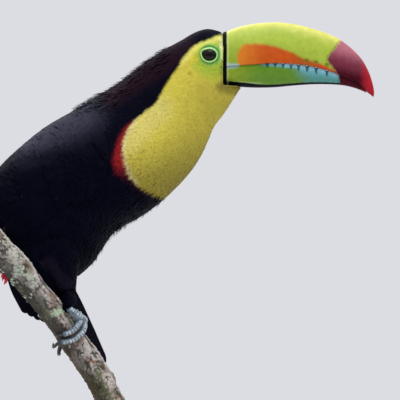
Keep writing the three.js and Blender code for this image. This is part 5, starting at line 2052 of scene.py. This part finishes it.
def lengths_along(centres: Array) -> Array:
    """Distance along a line of points from its first."""
    return np.concatenate([[0], np.cumsum(np.linalg.norm(np.diff(centres, axis=0), axis=1))])


def around(up: Array, aside: Array, high: Array, wide: Array) -> Array:
    """Rings of directions out of a line, from its up and side directions and their shares."""
    return up[:, None] * high[None, :, None] + aside[:, None] * wide[None, :, None]


@dataclass(frozen=True)
class Toe:
    """One toe and its claw, wound round the branch as (angle in degrees, place along, stand-off)."""

    path: tuple[tuple[float, float, float], ...]
    claw: tuple[tuple[float, float, float], ...]


@dataclass
class Foot:
    """A zygodactyl foot: scaled shank, two toes over each side of the branch, dark hooked claws."""

    side: Side
    ankle: tuple[tuple[float, float, float], ...]
    toes: tuple[Toe, ...]
    toe_radius: float = 3.0
    tip_radius: float = 2.3
    shank_radii: tuple[float, ...] = (2.8, 3.1, 3.5, 3.8, 4.0, 4.0, 3.6)
    claw_radius: float = 2.4
    scute: float = 2.6  # distance between the broad scales over a toe
    clear: float = 0.65  # gap from the branch's radius to the sole

    def wound(self, path: Sequence[tuple[float, float, float]], thick: float, count: int) -> Array:
        """Places along a path wound round the branch, a toe's radius off its bark."""
        rows = blend(np.array(path, dtype=float), np.linspace(0, len(path) - 1, count))
        reach = PERCH.radius + self.clear + thick + rows[:, 2]
        return PERCH.around(rows[:, 1], np.radians(rows[:, 0]), reach)

    def ring_axes(self, centres: Array) -> tuple[Array, Array, Array]:
        """Way, direction away from the branch, and side direction at each centre."""
        way = unit(np.gradient(centres, axis=0))
        line = PERCH.table["line"]
        nearest = line[np.argmin(((centres[:, None] - line[None]) ** 2).sum(-1), axis=1)]
        up = centres - nearest
        up = unit(up - way * (up * way).sum(-1, keepdims=True))
        return way, up, np.cross(way, up)

    def tube(self, centres: Array, radii: Array, pads: float) -> tuple[Array, list[list[int]]]:
        """A toe or shank: scutes step over its top and pads swell under it."""
        _, up, aside = self.ring_axes(centres)
        turns = full_turn(28)
        place = lengths_along(centres)
        top = np.maximum(0, np.cos(turns)) ** 0.6
        step = (place / self.scute) % 1
        scutes = 0.055 * (step - 0.5)[:, None] * top[None]
        seam = -0.055 * np.exp(-(np.minimum(step, 1 - step) / 0.12) ** 2)[:, None] * top[None]
        below = np.maximum(0, -np.cos(turns)) ** 1.5
        swell = pads * np.sin(place / 5.2 * math.pi)[:, None] ** 2 * below[None]
        warts = 0.025 * np.sin(place[:, None] * 5.0 + 3 * turns[None]) * np.sin(turns[None] * 7)
        warts = warts * (1 - top[None])
        share = 1 + scutes + seam + swell + warts
        flat = 1 - 0.12 * below
        out = around(up, aside, np.cos(turns) * flat, np.sin(turns))
        return closed_tube(centres[:, None] + out * (radii[:, None] * share)[..., None])

    def hide(self, title: str, dark: str, light: str) -> bpy.types.Material:
        """Blue-grey scaled skin, matt and a little dusty, with painted shade in its creases.

        Args:
            title: the part of the foot.
            dark: colour of its darker patches.
            light: colour of its lighter patches.

        Returns:
            The material.
        """
        made = Finish(f"{title}_{self.side.word}").set(
            IOR=1.45, Specular_IOR_Level=0.35, Subsurface_Weight=0.04, Subsurface_Scale=0.6 * MM)
        place = made.object_place()
        patches = made.noise(place, 4.0, 3.0)
        tone = made.blend(made.ramp(patches, 0.35, 0.65), rgba(dark), rgba(light))
        cells = made.node("ShaderNodeTexVoronoi", {"Scale": 1 / (1.1 * MM)}, {"Vector": place},
                          feature="DISTANCE_TO_EDGE")
        crease = made.ramp(cells.outputs["Distance"], 0.0, 0.12)
        # Painted shade darkens the creases between the scales.
        made.link("Base Color", made.blend(crease, rgba("3d4852"), tone))
        made.link("Roughness", made.ramp(patches, 0.3, 0.7, 0.5, 0.7))
        made.bump(crease, 0.12, 0.7)
        return made.material

    def build(self, claws: bpy.types.Material) -> None:
        """Makes the foot with its scutes, and its claws."""
        shank = self.wound(self.ankle, self.toe_radius, 40)
        radii = np.interp(np.linspace(0, 6, 40), np.arange(7), self.shank_radii)
        parts = [self.tube(shank, radii, 0.0)]
        scutes = [self.scute_rows(shank, radii)]
        for toe in self.toes:
            centres = self.wound(toe.path, self.toe_radius, 64)
            share = np.linspace(0, 1, 64)
            radii = self.toe_radius + (self.tip_radius - self.toe_radius) * share
            rounded = np.sqrt(np.clip(1 - ((share - 0.9) / 0.16) ** 2, 0.2, 1))
            radii = radii * np.where(share > 0.9, rounded, 1)
            parts.append(self.tube(centres, radii, 0.13))
            scutes.append(self.scute_rows(centres, radii))
        points, faces = join_parts(parts)
        piece = mesh_object(f"foot_skin_{self.side.word}", points, faces)
        piece.data.materials.append(self.hide("scaled_foot_skin", "526977", "90a2ae"))
        settle(piece, "foot_skin", f"foot_{self.side.word}")
        places, facing, ways, sizes = (np.concatenate(rows) for rows in zip(*scutes))
        stamp = self.scute_shape()
        # The scutes are much paler than the skin, a painted highlight on their tops.
        scales = self.hide("broad_scutes", "98a9b4", "dde5ea")
        rows = stamped(f"scutes_{self.side.word}", places, facing, ways, sizes, stamp, scales)
        settle(rows, "foot_skin")
        for number, toe in enumerate(self.toes, 1):
            self.claw(toe, number, claws)

    def scute_rows(self, centres: Array, radii: Array) -> tuple[Array, Array, Array, Array]:
        """Places, facings, ways and sizes of the broad scales along the top of a toe."""
        way, up, _ = self.ring_axes(centres)
        place = lengths_along(centres)
        at = np.arange(self.scute * 0.6, place[-1] * 0.93, self.scute)

        def pick(rows: Array) -> Array:
            """Rows of vectors at the scales' places."""
            return np.stack([np.interp(at, place, rows[:, k]) for k in range(3)], axis=-1)

        radius = np.interp(at, place, radii)
        sizes = np.stack([np.full(len(at), self.scute * 0.4), radius * 0.86, radius * 0.93], axis=-1)
        facing = unit(pick(up))
        return pick(centres) + facing * (radius * 0.18)[:, None], facing, unit(pick(way)), sizes

    @staticmethod
    def scute_shape() -> bpy.types.Object:
        """One broad scale: a saddle that lies over the top of a toe, in metres round its origin."""
        across = np.radians(np.linspace(-72, 72, 9))
        along = np.linspace(-1, 1, 4)
        outer = np.array([[[x, math.sin(t), math.cos(t) + 0.05 - 0.06 * (x + 1) / 2 - 0.03 * x * x]
                           for t in across] for x in along])
        inner = outer[:, ::-1] * np.array([1, 0.9, 0.86])
        points, faces = closed_tube(np.concatenate([outer, inner], axis=1))
        return mesh_object("scute", points, faces)

    def claw(self, toe: Toe, number: int, material: bpy.types.Material) -> None:
        """A hooked claw with a flattened underside, sharp at its point."""
        row = (toe.path[-1], *toe.claw)
        centres = self.wound(row, self.toe_radius - 0.5, 26)
        share = np.linspace(0, 1, 26)
        _, up, aside = self.ring_axes(centres)
        radii = self.claw_radius * (1 - share) ** 0.75 + 0.18
        turns = full_turn(18)
        out = around(up, aside, np.cos(turns) * 1.1, np.sin(turns) * 0.8)
        points, faces = closed_tube(centres[:, None] + out * radii[:, None, None])
        piece = mesh_object(f"claw_horn_{self.side.word}_{number}", points, faces)
        piece.data.materials.append(material)
        settle(piece, "claw_horn", f"claw_{self.side.word}_{number}")


def claw_horn() -> bpy.types.Material:
    """Dark claw keratin, polished along the curve and paler where it is worn."""
    made = Finish("claw_keratin").set(IOR=1.54, Coat_Weight=0.2, Coat_Roughness=0.2)
    place = made.object_place()
    streaks = made.noise(place, 1.5, 3.0)
    made.link("Base Color", made.blend(made.ramp(streaks, 0.35, 0.7), rgba("121317"), rgba("33353a")))
    made.link("Roughness", made.ramp(streaks, 0.3, 0.7, 0.28, 0.45))
    made.bump(made.noise(place, 0.5), 0.04, 0.5)
    return made.material


FEET = (
    Foot(Side.RIGHT, ((-34, -15, 0.8), (-28, -7, 1.2), (-18, 0, 1.6), (0, 6, 1.8)), (
        Toe(((2, 3, 1.8), (-28, 8, 0.8), (-62, 10, 0), (-96, 9, 0), (-128, 5, 0)),
            ((-144, 5.5, 2.8), (-160, 7, 3.8), (-174, 5, 0.6))),
        Toe(((10, -2, 1.6), (-22, 1, 0.6), (-52, 2.5, 0), (-80, 2, 0), (-104, 0, 0)),
            ((-122, -1.5, 0.4), (-140, -3, -0.6))),
        Toe(((14, 2, 1.6), (46, 7, 0.4), (80, 10, 0), (110, 12, 0), (132, 14, 0)),
            ((147, 17, 2.8), (162, 19.5, 3.8), (176, 18.5, 0.6))),
        Toe(((18, -3, 1.6), (48, -5, 0.4), (78, -6.5, 0), (102, -8, 0)),
            ((119, -9, 0.4), (135, -10, -0.6))),
    )),
    Foot(Side.LEFT, ((66, -54, 9.5), (62, -48, 5.0), (58, -43, 1.8), (58, -40, 1.4)), (
        Toe(((58, -40, 1.4), (78, -35, 0.4), (98, -30, 0), (114, -25, 0), (126, -22, 0)),
            ((135, -19, 0.4), (143, -16.5, -0.6))),
        Toe(((60, -43, 1.4), (84, -43, 0.4), (106, -41, 0), (124, -39, 0)),
            ((136, -38, 0.4), (146, -37.5, -0.6))),
        Toe(((60, -44, 1.4), (62, -51, 0.2), (64, -58, 0), (66, -65, 0)),
            ((67, -70, 0.3), (68, -74, -0.6))),
        Toe(((52, -41, 1.4), (45, -45, 0.2), (40, -50, 0), (38, -54, 0)),
            ((38, -58, 0.3), (38, -61.5, -0.6))),
    )),
)


# ------------------------------------------------------------------ stand


@dataclass
class Stand:
    """Display stand: a turned oval of oak and one brushed steel rod up to the branch."""

    half_length: float = 135.0
    half_depth: float = 82.0
    height: float = 16.0
    rod: tuple[float, float] = (24.5, 4.7)
    rod_radius: float = 4.5
    rod_foot: float = 7.0
    rod_top: float = 55.0

    def oak(self) -> bpy.types.Material:
        """Oiled oak: straight grain along the base with open pores and a satin skin."""
        made = Finish("oiled_oak").set(IOR=1.5, Coat_Weight=0.12, Coat_Roughness=0.3)
        place = made.object_place()
        grain = made.noise(place, 4.0, 5.0, 0.6, (0.07, 1.0, 1.0))
        rings = made.noise(place, 26.0, 2.0, 0.5, (0.12, 1.0, 1.0))
        tone = made.blend(made.ramp(grain, 0.3, 0.7), rgba("8a6238"), rgba("b78a56"))
        tone = made.blend(made.ramp(rings, 0.45, 0.6, 0.0, 0.45), tone, rgba("6e4a28"))
        pores = made.ramp(made.noise(place, 0.9, 2.0, 0.5, (0.05, 1.0, 1.0)), 0.62, 0.7)
        made.link("Base Color", made.blend(pores, tone, rgba("4a301a")))
        made.link("Roughness", made.ramp(grain, 0.3, 0.7, 0.38, 0.52))
        made.bump(pores, -0.08, 0.6)
        made.bump(grain, 0.05, 0.4)
        return made.material

    def steel(self) -> bpy.types.Material:
        """Brushed stainless steel, with fine rings from turning."""
        made = Finish("brushed_steel").set(Metallic=1.0, Base_Color=rgba("b9bcc0"))
        lines = made.noise(made.object_place(), 0.5, 2.0, 0.5, (0.1, 0.1, 1.0))
        made.link("Roughness", made.ramp(lines, 0.3, 0.7, 0.24, 0.38))
        made.bump(lines, 0.01, 0.5)
        return made.material

    def turned(self, name: str, profile: Sequence[tuple[float, float]], centre: tuple[float, float],
               sides: int, oval: float = 1.0) -> bpy.types.Object:
        """A closed body turned from a profile of (radius, height), its depth scaled for an oval."""
        turns = full_turn(sides)
        rings = []
        for radius, z in profile:
            inset = profile[0][0] - radius
            depth = max(profile[0][0] * oval - inset, radius * oval) if inset < 6 else radius * oval
            rings.append(np.stack([centre[0] + radius * np.cos(turns), centre[1] + depth * np.sin(turns),
                                   z + 0 * turns], axis=-1))
        points, faces = closed_tube(np.array(rings))
        return mesh_object(name, points, faces)

    def build(self) -> None:
        """Makes base, rod and collar."""
        arcs = [(self.half_length - 2.5 * (1 - math.cos(t)), self.height - 2.5 + 2.5 * math.sin(t))
                for t in np.linspace(0, math.pi / 2, 8)]
        cove = [(self.half_length - 1.6 * math.sin(t), self.height - 7.5 + 2.2 * math.cos(t))
                for t in np.linspace(math.pi, 0, 10)]
        profile = [(self.half_length - 0.8, 0.0), (self.half_length, 0.8), *cove, *arcs,
                   (self.half_length - 12, self.height), (self.half_length * 0.62, self.height),
                   (12.0, self.height)]
        base = self.turned("oak_base", profile, (0, 0), 160, self.half_depth / self.half_length)
        base.data.materials.append(self.oak())
        settle(base, "stand_wood", "stand_base")
        steel = self.steel()
        rod = self.turned("steel_rod", [(self.rod_radius, self.rod_foot), (self.rod_radius, self.rod_top)],
                          self.rod, 48)
        for face in rod.data.polygons:
            face.use_smooth = len(face.vertices) == 4
        rod.data.materials.append(steel)
        settle(rod, "stand_steel", "stand_rod")
        ring = [(9.0, self.height - 0.2), (9.0, self.height + 1.8), (8.4, self.height + 2.6),
                (self.rod_radius + 0.6, self.height + 2.9), (self.rod_radius - 0.5, self.height + 2.9)]
        collar = self.turned("steel_collar", ring, self.rod, 64)
        bevel = collar.modifiers.new("edge", "BEVEL")
        bevel.width = 0.3 * MM
        bevel.segments = 3
        collar.data.materials.append(steel)
        settle(collar, "stand_steel")


# ------------------------------------------------------------------ the whole


@dataclass(frozen=True)
class Studio:
    """Pale floor, soft light from an even sky, and the camera level with the bird's breast."""

    centre_x: float = 99.0  # middle of the view
    centre_z: float = 234.0
    width: float = 360.0  # width of the view at the bird
    distance: float = 8000.0
    sensor: float = 36.0
    floor_radius: float = 2.0
    sky: str = "dcdde3"
    sky_light: float = 1.25
    ground_light: float = 0.18

    def build(self) -> None:
        """Makes floor, light and camera."""
        turns = full_turn(96)
        rim = np.stack([np.cos(turns), np.sin(turns), 0 * turns], axis=-1) * self.floor_radius / MM
        floor = mesh_object("floor", rim, [list(range(96))], flat=True)
        paper = Finish("matt_paper").set(Roughness=0.9)
        grain = paper.noise(paper.object_place(), 3.0)
        paper.link("Base Color", paper.blend(grain, rgba("dcdcdf"), rgba("e6e6e8")))
        floor.data.materials.append(paper.material)

        world = bpy.data.worlds.new("even_sky")
        world.use_nodes = True
        tree = world.node_tree
        ground = tree.nodes["Background"]
        ground.inputs["Color"].default_value = rgba(self.sky)
        # An overcast sky: bright overhead, dim from the ground; the view itself stays even.
        way = add_node(tree, "ShaderNodeTexCoord").outputs["Generated"]
        rise = add_node(tree, "ShaderNodeSeparateXYZ", {}, {0: way}).outputs[2]
        dome = add_node(tree, "ShaderNodeMapRange",
                        {1: -0.35, 2: 0.75, 3: self.ground_light, 4: self.sky_light},
                        {0: rise}, interpolation_type="SMOOTHSTEP")
        seen = add_node(tree, "ShaderNodeLightPath").outputs["Is Camera Ray"]
        strength = add_node(tree, "ShaderNodeMix", {3: 1.0}, {0: seen, 2: dome.outputs[0]}, data_type="FLOAT")
        tree.links.new(strength.outputs[0], ground.inputs["Strength"])
        bpy.context.scene.world = world

        for title, place, size, power in (
                ("sky_panel", (0.35, -0.5, 1.9), 1.5, 22.0),
                ("back_panel", (-0.4, 0.9, 1.5), 1.2, 9.0)):
            lamp = bpy.data.lights.new(title, "AREA")
            lamp.size = size
            lamp.energy = power
            holder = bpy.data.objects.new(title, lamp)
            holder.location = place
            aim = Vector((0.05, 0, 0.28)) - Vector(place)
            holder.rotation_euler = aim.to_track_quat("-Z", "Y").to_euler()
            bpy.context.collection.objects.link(holder)

        lens = bpy.data.cameras.new("camera")
        lens.sensor_width = self.sensor
        lens.lens = self.sensor * self.distance / self.width
        lens.clip_end = 100
        camera = bpy.data.objects.new("camera", lens)
        camera.location = (self.centre_x * MM, -self.distance * MM, self.centre_z * MM)
        camera.rotation_euler = (math.pi / 2, 0, 0)
        bpy.context.collection.objects.link(camera)
        scene = bpy.context.scene
        scene.camera = camera
        scene.view_settings.view_transform = "Standard"


def main() -> None:
    """Builds every sub-assembly in order."""
    logging.basicConfig(level=logging.INFO, format="%(name)s: %(message)s")
    Studio().build()
    Skin().build()
    glossy = plumage("contour_feathers", roughness=0.6, sheen=0.02, sheen_tint="6a70b0", painted_blue_sheen=0.06)
    Coat().build(glossy)
    for side in Side:
        Wing(side).build(glossy)
        Scapulars(side).build(glossy)
        Eye(side).build()
    Wisps().build(glossy)
    coverts = plumage("tail_coverts", roughness=0.7, sheen=0.1, sheen_tint="ffd8d8")
    Tail().build(glossy, coverts)
    Bill().build()
    Bristles().build()
    Perch().build()
    claws = claw_horn()
    for foot in FEET:
        foot.build(claws)
    Stand().build()


if __name__ == "__main__":
    main()
